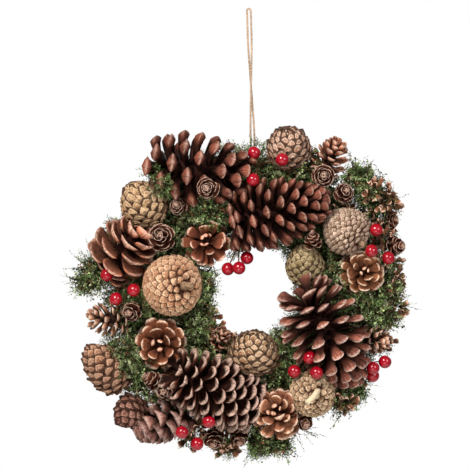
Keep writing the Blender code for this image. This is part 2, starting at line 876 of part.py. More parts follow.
BIG_STYLE = {
    "core_length": 0.84, "core_radius": 0.25, "core_start": 0.47, "count": 58,
    "spiral": (5, 8),
    "base_angle": 108, "tip_angle": 22, "bend_power": 1.25, "end_drop": 0.85,
    "rings": ((0.60, 0.22, 2.8, 0.0), (0.90, 0.36, 6.4, 0.03)),
    "point": True, "least": 0.28,
}
BROAD_STYLE = {**BIG_STYLE, "count": 46, "rings": ((0.60, 0.40, 2.6, 0.0), (0.90, 0.66, 4.6, 0.03))}
LESSER_STYLE = {**BIG_STYLE, "count": 46}
ROSE_STYLE = {
    "core_length": 0.74, "core_radius": 0.28, "core_start": 0.46, "count": 24,
    "spiral": (3, 5),
    "base_angle": 100, "tip_angle": 20, "bend_power": 1.1, "end_drop": 0.75,
    "rings": ((0.55, 0.58, 2.0, 0.02), (1.0, 0.40, 1.9, -0.04)),
    "point": False, "least": 0.28,
}
ROSETTE_STYLE = {
    "core_length": 0.70, "core_radius": 0.40, "core_start": 0.46, "count": 19,
    "spiral": (3, 5),
    "base_angle": 82, "tip_angle": 12, "bend_power": 1.0, "end_drop": 0.60,
    "rings": ((1.0, 0.80, 1.3, 0.0),),
    "point": False, "least": 0.25,
}


def wire_foot(place, ring):
    """Nearest place on the ring, just clear of it."""
    near, _, _, _ = ring.tree.find_nearest(place)
    return near + (place - near).normalized() * GAP


def berry_cluster(spec, ring):
    """Three berries on wires that meet above the ring."""
    meet = at(*spec[3])
    foot = wire_foot(meet, ring)
    parts = [tube([meet, foot], WIRE_RADIUS, 3), ball(meet, (WIRE_JOINT,) * 3, 1)]
    for place in spec[:3]:
        centre = at(*place)
        parts.append(ball(centre, (BERRY_RADIUS,) * 3, 2))
        parts.append(tube([centre, meet], WIRE_RADIUS, 3))
    return joined(parts)


def stalk_reach(cone, others):
    """How far a stalk runs back from a cone's base before it meets something."""
    start = cone.place(0.0, 0.0, 0.0)
    reach = STALK_LONGEST
    for other in others:
        for away in (Vector(), cone.first, cone.second, -cone.first, -cone.second):
            _, _, _, distance = other.tree.ray_cast(start + away * STALK_RADIUS, -cone.axis)
            if distance is not None and distance < reach:
                reach = distance
    return reach - GAP if reach < STALK_LONGEST else 0.0


def main():
    for item in list(bpy.data.objects):
        bpy.data.objects.remove(item)

    verts, faces = make_ring()
    piece("base_ring", verts, faces, "straw", True)
    ring = Body(verts, triangles(faces))
    solids = {"base_ring": ring}

    verts, faces = make_tie()
    piece("twine_tie", verts, faces, "jute", True)
    solids["twine_tie"] = Body(verts, faces)
    solids["twine_loop"] = make_twine()

    for number, (name, spec) in enumerate(CLOSED_CONES.items()):
        verts, faces = closed_cone(name, spec, number)
        piece(name, verts, faces, "tan", True)
        solids[name] = Body(verts, faces)

    for name, spec in BERRIES.items():
        verts, faces = berry_cluster(spec, ring)
        piece(name, verts, faces, "berry", True)
        solids[name] = Body(verts, faces)

    cones = []
    for table, style, look in ((BIG_CONES, BIG_STYLE, "brown"), (BROAD_CONES, BROAD_STYLE, "brown"),
                               (LESSER_CONES, LESSER_STYLE, "brown"), (ROSE_CONES, ROSE_STYLE, "tan_rim"),
                               (ROSETTES, ROSETTE_STYLE, "rosette")):
        for name, spec in table.items():
            cone = OpenCone(name, spec, style)
            cones.append((cone, look))
            solids[name] = cone.core()
    for cone, _ in cones:
        others = [body for name, body in solids.items() if name != cone.name]
        cone.set_foot(stalk_reach(cone, others) if cone.stalked else 0.0)
        solids[cone.name] = cone.core()

    tufts = {}
    for name, spec in MOSS.items():
        tufts[name] = Tuft(name, spec)
        solids[name] = tufts[name].settle(list(solids.values()))

    for cone, look in cones:
        cone.grow([body for name, body in solids.items() if name != cone.name])
        verts, faces = cone.skin()
        piece(cone.name, verts, faces, look)
        solids[cone.name] = Body(verts, faces)

    for name, tuft in tufts.items():
        tuft.grow([body for other, body in solids.items() if other != name])
        verts, faces = tuft.skin()
        piece(name, verts, faces, "moss")
        solids[name] = Body(verts, faces)


main()
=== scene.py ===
"""Looks of the sequoia christmas wreath: detailed cone scales, berries, moss, straw and
twine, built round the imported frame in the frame's own metres."""

import math
import random

import bmesh
import bpy
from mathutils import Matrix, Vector, noise
from mathutils.bvhtree import BVHTree


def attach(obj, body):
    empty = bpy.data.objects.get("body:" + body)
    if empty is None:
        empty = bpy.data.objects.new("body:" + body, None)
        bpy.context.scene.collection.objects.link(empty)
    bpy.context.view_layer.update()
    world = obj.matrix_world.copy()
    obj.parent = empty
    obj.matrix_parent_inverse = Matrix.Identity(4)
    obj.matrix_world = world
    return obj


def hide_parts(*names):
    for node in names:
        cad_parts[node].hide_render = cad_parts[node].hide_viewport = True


bl_info = {
    "name": "Christmas Wreath Looks",
    "version": (1, 0, 0),
    "blender": (4, 5, 0),
    "location": "3D View > Sidebar > Wreath",
    "description": "Builds the cones, berries, moss, straw and twine of a hanging wreath",
    "category": "Object",
}

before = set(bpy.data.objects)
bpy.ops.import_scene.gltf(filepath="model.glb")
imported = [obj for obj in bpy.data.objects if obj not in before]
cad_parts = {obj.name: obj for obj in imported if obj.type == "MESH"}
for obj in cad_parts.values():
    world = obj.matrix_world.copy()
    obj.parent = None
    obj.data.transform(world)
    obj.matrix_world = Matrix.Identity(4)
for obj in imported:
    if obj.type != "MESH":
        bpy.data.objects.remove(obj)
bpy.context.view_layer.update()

MM = 0.001
GOLDEN = math.radians(137.508)

# Fixed seeds; a group that holds several pieces counts on from its own
SEEDS = {
    "straws": 31, "fingers": 10, "cups": 20, "roses": 40, "rosettes": 60, "shut_cones": 80,
    "fronds": 5, "tufts": 200, "loose_moss": 7, "wisps": 41, "heaps": 99, "gaps": 77,
}

# The ring in the frame: its middle, its flat back and its half-round section
RING_X = -0.0022
RING_Z = -0.3090
BACK_Y = 0.0100
RING_RADIUS = 0.106
RING_HALF_WIDTH = 0.040
RING_DEPTH = 0.028
RING_SHOULDER = 0.25
RING_ARCS = 14
RING_STATIONS = 120

# The open middle that stays free, in millimetres from the ring's middle
HOLE_X = 1.0
HOLE_Z = -20.0
HOLE_RADIUS = 35

# Twine, its knot and its groove round the ring, in metres. The places of the tie and the knot are
# the layout's millimetres
TWINE_RADIUS = 0.0012
TIE_X = 6.6
TIE_ARCS = 6
TIE_CLEARANCE = 0.004
GROOVE_DEPTH = 0.0032
GROOVE_HALF = 0.0017
GROOVE_SLOPE = 0.0006
KNOT_Z = 151.5
KNOT_RISE = 10.0
KNOT_TOP = 0.0034
KNOT_STEPS = 41
LOOP_SPREAD = 0.0021
TWIST_SPREAD = 0.00145
TWIST_START = 0.12
TWIST_SHARE = 0.66
STRAND_STEPS = 14
ARC_STEPS = 7
PLIES = 3
PLY_SIDES = 7
GAP = 0.0004
# The edge of the tie's groove, in degrees round the ring
GROOVE_ANGLE = math.degrees(math.atan2(1.0, (TIE_X * MM - GROOVE_HALF) / RING_RADIUS))

# Straws and binding thread on the ring. A thread's start and end stand apart by the slant, as a
# share of one turn's way along the ring
STRAW_STEPS = 8
THREAD_TURNS = 44
THREAD_RADIUS = 0.0004
THREAD_LIFT = 0.0005
THREAD_SLANT = 0.9
STRAW_RISE = 0.0004

# Corners and steps of the round bodies
SCALE_CORNERS = 8
OPEN_CORE_STEPS = 10
OPEN_CORE_SIDES = 14
SHUT_CORE_STEPS = 20
SHUT_CORE_SIDES = 28
STEM_SIDES = 14
BERRY_STEPS = 14
BERRY_SIDES = 24

# Camera and room, in metres. The camera is far off, so its view is nearly flat
VIEW_DISTANCE = 5.0
VIEW_WIDTH = 0.517
SENSOR_WIDTH = 36.0
VIEW_X = -0.0154
VIEW_Y = -0.04
VIEW_Z = -0.2497
FLOOR_HALF = 0.75
FLOOR_Z = -0.80
LIT_PLACE = (0, 0, -0.30)
WHITE = (1.0, 1.0, 1.0, 1.0)
ROOM_LIGHT = 0.22
# name: place, size, power, colour
LIGHTS = {
    "key_light": ((-0.7, -1.5, 0.75), 0.6, 46.0, (1.0, 0.97, 0.94)),
    "side_light": ((1.2, -1.4, 0.2), 0.7, 16.0, (0.98, 0.98, 1.0)),
    "low_light": ((-0.2, -1.8, -1.1), 0.8, 8.0, (1.0, 1.0, 1.0)),
    "back_light": ((0.5, 1.6, 0.3), 0.8, 9.0, (1.0, 1.0, 1.0)),
}

# name: right, up, rise of the cone's middle, heading, lean to the front, radius, length
FINGER_CONES = {
    "big_cone_top_right": (35, 85, 60, 14, 8, 46, 108),
    "big_cone_right": (91, -56, 57, -60, -18, 49, 108),
    "big_cone_top_left": (-48, 130, 57, -5, 8, 47, 104),
}
CUPPED_CONES = {
    "big_cone_bottom": (-43, -107, 58, 155, 20, 46, 106),
    "big_cone_left": (-134, 46, 50, 45, 32, 39, 76),
    "big_cone_bottom_left": (-93, -147, 42, 205, 0, 28, 60),
}
ROSE_CONES = {
    "rose_cone_top": (-45, 52, 52, 90, 80, 28, 44),
    "rose_cone_left": (-95, -60, 56, 200, 84, 31, 46),
    "rose_cone_right": (127, 18, 54, 30, 78, 28, 44),
    "rose_cone_bottom": (34, -136, 55, 120, 72, 30, 48),
    "rose_cone_far_left": (-155, -33, 32, 180, 10, 25, 50),
    "rose_cone_top_right": (93, 146, 40, 62, 24, 24, 48),
    "rose_cone_far_right": (142, -56, 38, -8, 22, 20, 40),
    "rose_cone_inner": (-29, -54, 30, 60, 40, 16, 30),
}
CLOSED_CONES = {
    "closed_cone_top_left": (-114, 92, 55, 125, 35, 23, 54),
    "closed_cone_top": (46, 155, 46, 100, 50, 22, 46),
    "closed_cone_left": (-83, 4, 60, 180, -58, 32, 58),
    "closed_cone_right": (109, 64, 53, 140, -30, 25, 50),
    "closed_cone_bottom_right": (71, -116, 52, 215, -72, 24, 50),
    "closed_cone_inner": (8, -71, 47, 90, 35, 26, 42),
    "closed_cone_far_left": (-153, -89, 38, 135, 10, 21, 58),
    "closed_cone_inner_right": (64, 25, 46, 100, 30, 20, 44),
    "closed_cone_bottom_left": (-127, -135, 36, 215, 20, 17, 34),
}
ROSETTES = {
    "rosette_top_left": (-43, 111, 84, 200, 82, 14, 19),
    "rosette_upper_left": (-76, 91, 66, 150, 72, 11, 17),
    "rosette_left": (-94, 57, 74, 120, 80, 17, 22),
    "rosette_far_left": (-127, -25, 60, 200, 70, 12, 18),
    "rosette_top_right": (84, 124, 66, 60, 86, 14, 19),
    "rosette_upper_right": (107, 106, 64, 45, 72, 12, 17),
    "rosette_inner_right": (72, 54, 70, 95, 30, 11, 20),
    "rosette_bottom": (-37, -165, 40, -90, 52, 14, 20),
    "rosette_bottom_middle": (-8, -164, 40, -90, 52, 12, 19),
    "rosette_lower_left": (-104, -100, 64, 150, 25, 12, 20),
    "rosette_bottom_right": (63, -147, 50, -60, 66, 11, 16),
    "rosette_far_right": (158, 74, 38, 20, 40, 11, 16),
    "rosette_right": (163, 47, 38, 0, 40, 13, 18),
    "rosette_low_left": (-90, -112, 68, 200, 76, 12, 18),
}
# name: three berries as right, up, rise, then the place where their wires meet
BERRIES = {
    "berries_top": ((7.7, 149.6, 62), (38.5, 141.9, 74), (6.6, 119.9, 78), (16, 139, 46)),
    "berries_hole": ((0, 34.1, 50), (-20.9, 22, 52), (-8.8, 23.1, 64), (-8, 48, 38)),
    "berries_left": ((-154, 15.4, 56), (-124.3, -1.1, 66), (-144.1, -11, 58), (-140, 4, 38)),
    "berries_right": ((141.9, 64.9, 58), (136.2, 41.9, 78), (155.1, 34.1, 60), (149, 48, 42)),
    "berries_lower_right": ((68.2, -74.8, 78), (51.7, -90.2, 68), (75.9, -91.3, 82), (58, -92, 44)),
    "berries_far_right": ((138.6, -86.9, 54), (138.6, -95.7, 42), (151.8, -80.3, 48), (134, -82, 34)),
    "berries_bottom": ((-41.8, -145.2, 74), (-71.5, -157.3, 64), (-55, -170.5, 54), (-58, -152, 40)),
}
# name: the two ends of a tuft's middle as right, up, rise
MOSS = {
    "moss_upper_left": ((-92, 128, 48), (-84, 106, 50)),
    "moss_top_left": ((-62, 80, 50), (-22, 88, 54)),
    "moss_top": ((26, 130, 38), (64, 128, 42)),
    "moss_upper_right": ((118, 128, 42), (144, 96, 44)),
    "moss_inner_right": ((94, 24, 38), (98, -8, 40)),
    "moss_right": ((112, -10, 50), (158, -34, 38)),
    "moss_lower_right": ((44, -58, 38), (41, -90, 40)),
    "moss_inner_left": ((-46, 16, 40), (-54, -50, 44)),
    "moss_lower_left": ((-142, -62, 40), (-112, -104, 46)),
    "moss_far_left": ((-164, 24, 32), (-178, 4, 32)),
    "moss_bottom_right": ((98, -124, 38), (120, -112, 36)),
    "moss_bottom": ((40, -166, 34), (8, -172, 34)),
    "moss_far_right": ((152, 10, 34), (160, -8, 34)),
}

# Heaps of moss in the gaps: right, up, rise, reach, number of fronds
CLUMPS = (
    (-121, -108, 26, 17, 120), (-148, -62, 26, 13, 100), (150, 62, 24, 14, 150), (152, 86, 26, 13, 130),
    (150, 30, 26, 12, 100), (-26, -166, 26, 14, 120), (10, -152, 28, 13, 90), (24, -101, 32, 15, 120),
    (74, 143, 32, 12, 80), (-150, 70, 26, 12, 90), (-98, 66, 44, 14, 90), (122, -98, 26, 14, 100),
    (-64, -128, 28, 14, 80), (104, 88, 36, 14, 110), (0, 124, 46, 14, 110), (-66, 34, 40, 13, 90),
    (-116, -76, 40, 14, 90), (-84, -126, 32, 13, 120), (-90, -142, 24, 12, 80), (158, 30, 30, 10, 70),
    (-4, 60, 34, 12, 60), (146, -60, 30, 12, 80), (140, 80, 32, 12, 90), (-76, -132, 34, 12, 70),
    (-138, -70, 50, 14, 110), (-132, -86, 54, 10, 60), (150, -8, 34, 13, 70), (-63, -164, 32, 12, 90),
    (-78, -146, 30, 12, 70), (-105, -122, 30, 12, 40), (-46, -150, 32, 11, 40), (-24, -178, 30, 9, 40),
    (-94, 112, 76, 12, 110), (-105, 128, 62, 9, 50), (-13, 45, 40, 9, 60), (-111, -115, 36, 10, 44),
    (-97, -127, 28, 8, 16),
)
# A dark body of painted shade fills this share of a heap's reach
BODY_SHARE = 0.62
BODY_SIDES = 12
BODY_STEPS = 7
# Small heaps of mostly brown scales, and the share of scales in them
BROWN_CLUMPS = (
    (-45, -34, 30, 9, 34), (-34, -46, 30, 9, 34), (-14, -58, 28, 8, 24), (153, 58, 32, 9, 30),
    (166, 12, 28, 9, 34), (164, -22, 30, 10, 34), (136, 92, 34, 9, 26), (120, -80, 34, 9, 30),
    (98, -108, 30, 9, 26), (138, 108, 60, 9, 24), (153, 98, 54, 9, 24), (160, 88, 42, 8, 16),
    (107, -124, 56, 9, 22), (-20, -177, 36, 7, 16), (-54, -153, 36, 10, 30), (-96, -126, 32, 8, 18),
)
BROWN_SHARE = 0.7
# The share of brown scales in the other heaps at the right and at the bottom, and where those
# start
FLAKE_SHARE = 0.17
FLAKES_RIGHT = 60
FLAKES_LOW = -140
FLAKE_THICKNESS = 0.0013

# Loose wisps at the rim: right, up, rise, heading, how many
WISPS = (
    (-176, 22, 32, 150, 16), (-178, 6, 32, 200, 16), (-170, 30, 34, 120, 8), (38, -168, 34, -55, 12),
    (60, -160, 34, -35, 10), (6, -174, 34, -100, 8), (124, -110, 36, -40, 10), (152, 92, 38, 40, 8),
    (166, -12, 34, -10, 8), (90, 140, 36, 75, 6), (-92, 132, 46, 115, 6),
)

# Moss on the ring itself: how far over the ring and how far round a frond cones are looked for,
# and the room over the ring that a frond needs
MOUND_REACH = 0.040
SIGHT_REACH = 0.060
LEAST_ROOM = 0.0025
# How large a tuft's skin is drawn, as shares of its size: for the fronds, and for the dark body
TUFT_SKINS = (0.78, 0.56)
FROND_LEAVES = (5, 6, 5)

# Scale templates: along the scale, width, thickness, lift toward the cone's tip, rim mask
FINGER = ((0.0, 0.50, 0.60, 0.0, 0.0), (0.38, 0.52, 0.58, -0.18, 0.0), (0.68, 0.72, 0.78, -0.12, 0.0),
          (0.86, 1.0, 1.0, 0.0, 0.45), (0.93, 0.92, 0.74, 0.06, 0.40), (0.975, 0.70, 0.34, 0.12, 0.75),
          (1.0, 0.34, 0.12, 0.16, 1.0))
CUP = ((0.0, 0.34, 0.9, 0.0, 0.0), (0.32, 0.54, 0.75, -0.25, 0.0), (0.58, 0.88, 0.80, -0.25, 0.0),
       (0.76, 1.0, 1.0, 0.0, 0.35), (0.91, 0.88, 0.9, 0.5, 0.85), (1.0, 0.50, 0.5, 1.0, 1.0))
KNOB = ((0.0, 0.50, 0.60, 0.0, 0.0), (0.55, 0.60, 0.60, 0.0, 0.0), (0.82, 1.0, 1.0, 0.1, 0.3),
        (0.94, 0.85, 0.80, 0.2, 0.7), (1.0, 0.45, 0.40, 0.3, 0.9))
HEAD = ((0.0, 0.50, 0.50, 0.0, 0.0), (0.36, 0.60, 0.56, -0.1, 0.0), (0.66, 0.92, 0.80, -0.1, 0.0),
        (0.86, 1.0, 1.0, 0.0, 0.30), (0.94, 0.92, 0.86, 0.05, 0.55), (0.98, 0.72, 0.50, 0.1, 0.8),
        (1.0, 0.42, 0.20, 0.15, 1.0))
PETAL = ((0.0, 0.45, 1.0, 0.0, 0.0), (0.35, 0.75, 0.8, 0.0, 0.0), (0.68, 1.0, 0.7, 0.1, 0.0),
         (0.90, 0.90, 0.8, 0.6, 0.5), (1.0, 0.60, 0.7, 1.2, 1.0))
# Pad of a shut cone: size, height, edge mask, which also places painted shade and a painted highlight. Then
# the height of its keel, and its point
PAD = ((1.0, -1.2, 1.0), (1.0, 0.0, 0.95), (0.80, 0.34, 0.22), (0.42, 0.52, 0.0))
PAD_KEEL = 0.50
PAD_POINT = (0.10, 0, 1.35)

# The one long broken stem, and the way it points
LONG_STEM = "closed_cone_bottom_right"
LONG_WAY = (-0.55, -0.60, -0.58)

# What sets one kind of open cone apart from another. Core sizes are shares of the cone's, angles
# are in degrees from its axis, width is a share of its radius, thickness is in millimetres
FINGER_STYLE = {
    "core_length": 0.84, "core_radius": 0.25, "core_start": 0.47, "count": 92,
    "base_angle": 108, "tip_angle": 22, "bend_power": 1.25, "end_drop": 0.85,
    "width": 0.42, "thickness": 9.6, "least": 0.30,
}
ROSE_STYLE = {
    "core_length": 0.74, "core_radius": 0.24, "core_start": 0.46, "count": 32,
    "base_angle": 102, "tip_angle": 26, "bend_power": 2.0, "end_drop": 1.0,
    "width": 0.56, "thickness": 2.6, "least": 0.22, "knobs": 3, "wander": 0.10, "vary": 0.12,
}
SIDE_ROSE_STYLE = {**ROSE_STYLE, "knobs": 0, "wander": 0.16}
ROSETTE_STYLE = {
    "core_length": 0.70, "core_radius": 0.22, "core_start": 0.46, "count": 34,
    "base_angle": 92, "tip_angle": -16, "bend_power": 0.9, "reach": 1.14, "end_drop": 0.45,
    "width": 0.86, "thickness": 0.9, "least": 0.22, "wander": 0.14, "vary": 0.14,
}
STYLES = {
    "big_cone_top_right": {**FINGER_STYLE, "width": 0.38},
    "big_cone_right": {
        **FINGER_STYLE, "count": 88, "width": 0.38, "thickness": 7.6,
        "base_angle": 142, "tip_angle": 14, "bend_power": 0.9, "reach": 1.1},
    "big_cone_top_left": {
        **FINGER_STYLE, "count": 50, "width": 0.50, "thickness": 13.5,
        "base_angle": 116, "tip_angle": 34, "reach": 1.05},
    "big_cone_bottom": {
        **FINGER_STYLE, "count": 106, "width": 0.47, "thickness": 4.0, "least": 0.16,
        "base_angle": 119, "tip_angle": 62, "bend_power": 4.0, "reach": 1.02},
    "big_cone_left": {
        **FINGER_STYLE, "count": 34, "width": 0.90, "thickness": 4.6, "tip_angle": 40, "bend_power": 1.8},
    "big_cone_bottom_left": {
        **FINGER_STYLE, "count": 38, "width": 1.0, "thickness": 9.0, "base_angle": 98,
        "wander": 0.18, "vary": 0.2},
    "rose_cone_top": {
        **ROSE_STYLE, "knobs": 5, "count": 30, "width": 0.54, "tip_angle": 30, "reach": 1.14,
        "wander": 0.30, "vary": 0.28},
    "rose_cone_left": {**ROSE_STYLE, "reach": 1.08, "wander": 0.18, "vary": 0.18},
    "rose_cone_right": {
        **ROSE_STYLE, "count": 40, "width": 0.52, "tip_angle": 30, "bend_power": 1.6, "reach": 1.06,
        "wander": 0.28, "vary": 0.25},
    "rose_cone_bottom": {
        **ROSE_STYLE, "knobs": 4, "count": 36, "width": 0.50, "thickness": 4.2, "tip_angle": 24,
        "bend_power": 1.3, "reach": 1.16, "wander": 0.26, "vary": 0.26},
    "rose_cone_far_left": {
        **SIDE_ROSE_STYLE, "count": 50, "width": 0.42, "thickness": 2.2, "tip_angle": 40,
        "bend_power": 1.2},
    "rose_cone_top_right": {
        **SIDE_ROSE_STYLE, "count": 46, "width": 0.46, "tip_angle": 38, "bend_power": 1.1},
    "rose_cone_far_right": {
        **SIDE_ROSE_STYLE, "count": 42, "width": 0.48, "tip_angle": 36, "bend_power": 1.2},
    "rose_cone_inner": {
        **SIDE_ROSE_STYLE, "count": 40, "width": 0.46, "tip_angle": 36, "bend_power": 1.3},
}
# Tilt and swing, in radians, that a scale tries in turn until it stands free of what is near
TRIES = ((0, 0), (0.12, 0), (-0.12, 0), (0, 0.13), (0, -0.13), (0.22, 0.1), (-0.22, -0.1))
# How far a scale looks ahead, in its own lengths, and how far off its root that starts; how deep
# its tip may sink into what it meets; the share of its length that will do; and by how much a try
# must be better than the best one before it
LOOK_AHEAD = 1.02
ROOT_OFFSET = 0.001
TIP_SINK = 0.0015
GOOD_REACH = 0.97
BETTER_REACH = 0.02
# An open cone leant farther than this to the front, in degrees, has a stalk back to the ring, and
# so has the one named here. Then how far the ring may be, and the stalk's two radii
STALK_LEAN = 35
STALKED_CONE = "rose_cone_far_left"
STALK_REACH = 0.09
STALK_TIP = 0.0015
STALK_FOOT = 0.0019

# name: material, face, worn rim, how pale the rim is, how far painted shade darkens the upper side, where
# along the scale its colour starts and is full over the painted shade of the root, where the worn edge
# starts and is full
CUPPED_LOOKS = {
    "big_cone_bottom": (
        "dark_cups", (0.25, 0.082, 0.047), (0.86, 0.61, 0.48), 1.0, 1.0, (0.3, 1.0), (0.40, 0.85)),
    "big_cone_left": (
        "pink_cups", (0.56, 0.21, 0.12), (0.88, 0.63, 0.49), 0.8, 0.6, (0.25, 0.75), (0.6, 1.0)),
    "big_cone_bottom_left": (
        "grey_lumps", (0.26, 0.112, 0.086), (0.70, 0.49, 0.41), 0.9, 0.5, (0.25, 0.95), (0.45, 0.95)),
}
# name: material, face, worn rim, how far painted shade darkens the upper side, where its colour starts and
# is full over the root's shade
ROSE_LOOKS = {
    "rose_cone_top": ("orange_brown_petals", (0.56, 0.165, 0.085), (0.98, 0.74, 0.56), 0.55, (0.35, 1.0)),
    "rose_cone_left": ("cream_rim_petals", (0.64, 0.205, 0.095), (1.0, 0.82, 0.62), 0.6, (0.40, 1.0)),
    "rose_cone_right": ("yellow_brown_petals", (0.70, 0.26, 0.115), (1.0, 0.84, 0.64), 0.45, (0.35, 0.95)),
    "rose_cone_bottom": ("tan_petals", (0.74, 0.29, 0.155), (1.0, 0.80, 0.60), 0.15, (0.25, 0.9)),
}
# Painted shade at the roots of the rose cones' scales
RED_ROOT_SHADE = (0.030, 0.006, 0.002)
# A stem's material and its two tones
PEELED_WOOD = ("peeled_wood", (0.62, 0.47, 0.29), (0.82, 0.68, 0.47))
STEM_BARK = ("stem_bark", (0.10, 0.055, 0.030), (0.42, 0.27, 0.16))

# name: number of pads, how far their tips stand open in degrees, how unevenly they stand
PAD_STYLES = {
    "closed_cone_top_left": (92, 20, 0.14),
    "closed_cone_top": (92, 31, 0.14),
    "closed_cone_left": (270, 18, 0.08),
    "closed_cone_right": (250, 20, 0.22),
    "closed_cone_bottom_right": (240, 20, 0.20),
    "closed_cone_inner": (104, 34, 0.12),
    "closed_cone_far_left": (84, 36, 0.14),
    "closed_cone_inner_right": (110, 20, 0.14),
    "closed_cone_bottom_left": (60, 44, 0.18),
}

# The shut cone that shows its stem end: the radius of the pit there. Then the length of one of the
# three steps of a stem, on that cone and on the others, and the girth that a cone's first scales need
BARE_CONE = "closed_cone_left"
BARE_RADIUS = 0.0072
BARE_STEP = 0.0044
STUB_STEP = 0.0017
LEAST_GIRTH = 0.003


class WreathSizes(bpy.types.PropertyGroup):
    """Sizes a user would change, in metres or as shares."""

    stem_thickness: bpy.props.FloatProperty(
        name="Stem thickness", description="Thickness of the broken stem on a shut cone",
        default=0.0048, min=0.001, max=0.02, unit="LENGTH")
    berry_radius: bpy.props.FloatProperty(
        name="Berry radius", description="Radius of one berry",
        default=0.0072, min=0.002, max=0.02, unit="LENGTH")
    wire_radius: bpy.props.FloatProperty(
        name="Wire radius", description="Radius of the wires that hold the berries",
        default=0.0008, min=0.0002, max=0.003, unit="LENGTH")
    frond_length: bpy.props.FloatProperty(
        name="Moss frond length", description="Length of one frond of moss",
        default=0.0095, min=0.002, max=0.03, unit="LENGTH")
    frond_density: bpy.props.FloatProperty(
        name="Moss density", description="Fronds on a square metre of a tuft",
        default=90000.0, min=1000.0, max=400000.0)
    gap_fronds: bpy.props.IntProperty(
        name="Moss between the cones", description="Fronds grown on the ring between the cones",
        default=7500, min=0, max=12000)
    straws: bpy.props.IntProperty(
        name="Straws", description="Loose straws laid along the ring",
        default=260, min=0, max=2000)
    straw_radius: bpy.props.FloatProperty(
        name="Straw radius", description="Radius of one straw",
        default=0.0008, min=0.0002, max=0.003, unit="LENGTH")


class WreathColours(bpy.types.PropertyGroup):
    """Colours a user would change."""

    dark_scale: bpy.props.FloatVectorProperty(
        name="Dark scale", description="Face of a dark pine cone's scale",
        subtype="COLOR", size=3, default=(0.265, 0.080, 0.048), min=0.0, max=1.0)
    # Painted shade: this near-black stands in for the shade deep inside an open cone, at its scales' roots
    # and on its core
    root_shade: bpy.props.FloatVectorProperty(
        name="Dark root", description="Inside of an open cone",
        subtype="COLOR", size=3, default=(0.009, 0.0018, 0.001), min=0.0, max=1.0)
    pale_rim: bpy.props.FloatVectorProperty(
        name="Pale rim", description="Worn edge of a scale",
        subtype="COLOR", size=3, default=(0.64, 0.41, 0.32), min=0.0, max=1.0)
    tan_scale: bpy.props.FloatVectorProperty(
        name="Tan scale", description="Scale of a shut cone",
        subtype="COLOR", size=3, default=(0.56, 0.32, 0.165), min=0.0, max=1.0)
    berry_red: bpy.props.FloatVectorProperty(
        name="Berry red", description="Skin of a berry",
        subtype="COLOR", size=3, default=(0.36, 0.002, 0.012), min=0.0, max=1.0)
    moss_green: bpy.props.FloatVectorProperty(
        name="Moss green", description="Middle green of the moss",
        subtype="COLOR", size=3, default=(0.104, 0.172, 0.050), min=0.0, max=1.0)
    jute: bpy.props.FloatVectorProperty(
        name="Jute", description="Twine",
        subtype="COLOR", size=3, default=(0.43, 0.30, 0.20), min=0.0, max=1.0)
    straw: bpy.props.FloatVectorProperty(
        name="Straw", description="Straw of the base ring",
        subtype="COLOR", size=3, default=(0.42, 0.29, 0.13), min=0.0, max=1.0)


def at(right, up, rise):
    """A place on the wreath, from the layout's millimetres."""
    return Vector((RING_X + right * MM, BACK_Y - rise * MM, RING_Z + up * MM))


def pointing(heading, lean):
    """A direction in the wreath's face, leant toward the front."""
    turn = math.radians(heading)
    tilt = math.radians(lean)
    return Vector((math.cos(tilt) * math.cos(turn), -math.sin(tilt), math.cos(tilt) * math.sin(turn)))


def across(axis):
    """Two directions square to an axis and to each other."""
    first = axis.orthogonal().normalized()
    return first, axis.cross(first)


def around(first, second, angle):
    """A direction turned round an axis, from two directions square to it."""
    return first * math.cos(angle) + second * math.sin(angle)


def on_ring(radius, rise, angle):
    """A place at an angle round the ring, from its section's radius and rise."""
    return Vector((RING_X + radius * math.cos(angle), BACK_Y - rise, RING_Z + radius * math.sin(angle)))


def blend(start, end, share):
    """A value part of the way from one to another."""
    return start + (end - start) * share


def shade(colour, share):
    """A colour made darker or lighter."""
    return tuple(min(1.0, part * share) for part in colour)


def add_part(verts, faces, more, sides):
    """Add one shape's corners and faces to a growing mesh."""
    start = len(verts)
    verts.extend(more)
    faces.extend(tuple(start + corner for corner in side) for side in sides)


def search_tree(names):
    """One search tree of the named frame solids."""
    verts = []
    faces = []
    for name in names:
        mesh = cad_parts[name].data
        add_part(verts, faces, [vert.co.copy() for vert in mesh.vertices],
                 [face.vertices for face in mesh.polygons])
    return BVHTree.FromPolygons(verts, faces)


def neighbours(*left_out):
    """One search tree of every frame solid but those named."""
    return search_tree([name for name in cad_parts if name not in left_out])


def mesh_object(name, verts, faces, smooth=True):
    """A new mesh object at the origin."""
    mesh = bpy.data.meshes.new(name)
    mesh.from_pydata([tuple(vert) for vert in verts], [], faces)
    mesh.polygons.foreach_set("use_smooth", [smooth] * len(mesh.polygons))
    mesh.update()
    made = bpy.data.objects.new(name, mesh)
    bpy.context.scene.collection.objects.link(made)
    return made


def mark(mesh, name, values, kind="FLOAT"):
    """Store one value for each vertex of a mesh."""
    stored = mesh.attributes.new(name, kind, "POINT")
    if kind == "FLOAT_VECTOR":
        stored.data.foreach_set("vector", [number for value in values for number in value])
    else:
        stored.data.foreach_set("value", values)


def closed_mesh(name, verts, faces, smooth=True, **marks):
    """A new object of closed bodies, their faces pointing outwards, with values for its vertices."""
    made = mesh_object(name, verts, faces, smooth)
    shape = bmesh.new()
    shape.from_mesh(made.data)
    bmesh.ops.recalc_face_normals(shape, faces=shape.faces)
    shape.to_mesh(made.data)
    shape.free()
    for label, values in marks.items():
        mark(made.data, label, values)
    return made


def corner_at(step, corner):
    """One of the eight corners of a unit ring, the slanting ones moved in or out."""
    angle = 2 * math.pi * step / SCALE_CORNERS
    squash = corner * math.sqrt(2) if step % 2 else 1.0
    return math.cos(angle) * squash, math.sin(angle) * squash


def band(near, far, count):
    """Faces between two closed rings of corners, given by the first corner of each."""
    for step in range(count):
        beside = (step + 1) % count
        yield near + step, near + beside, far + beside, far + step


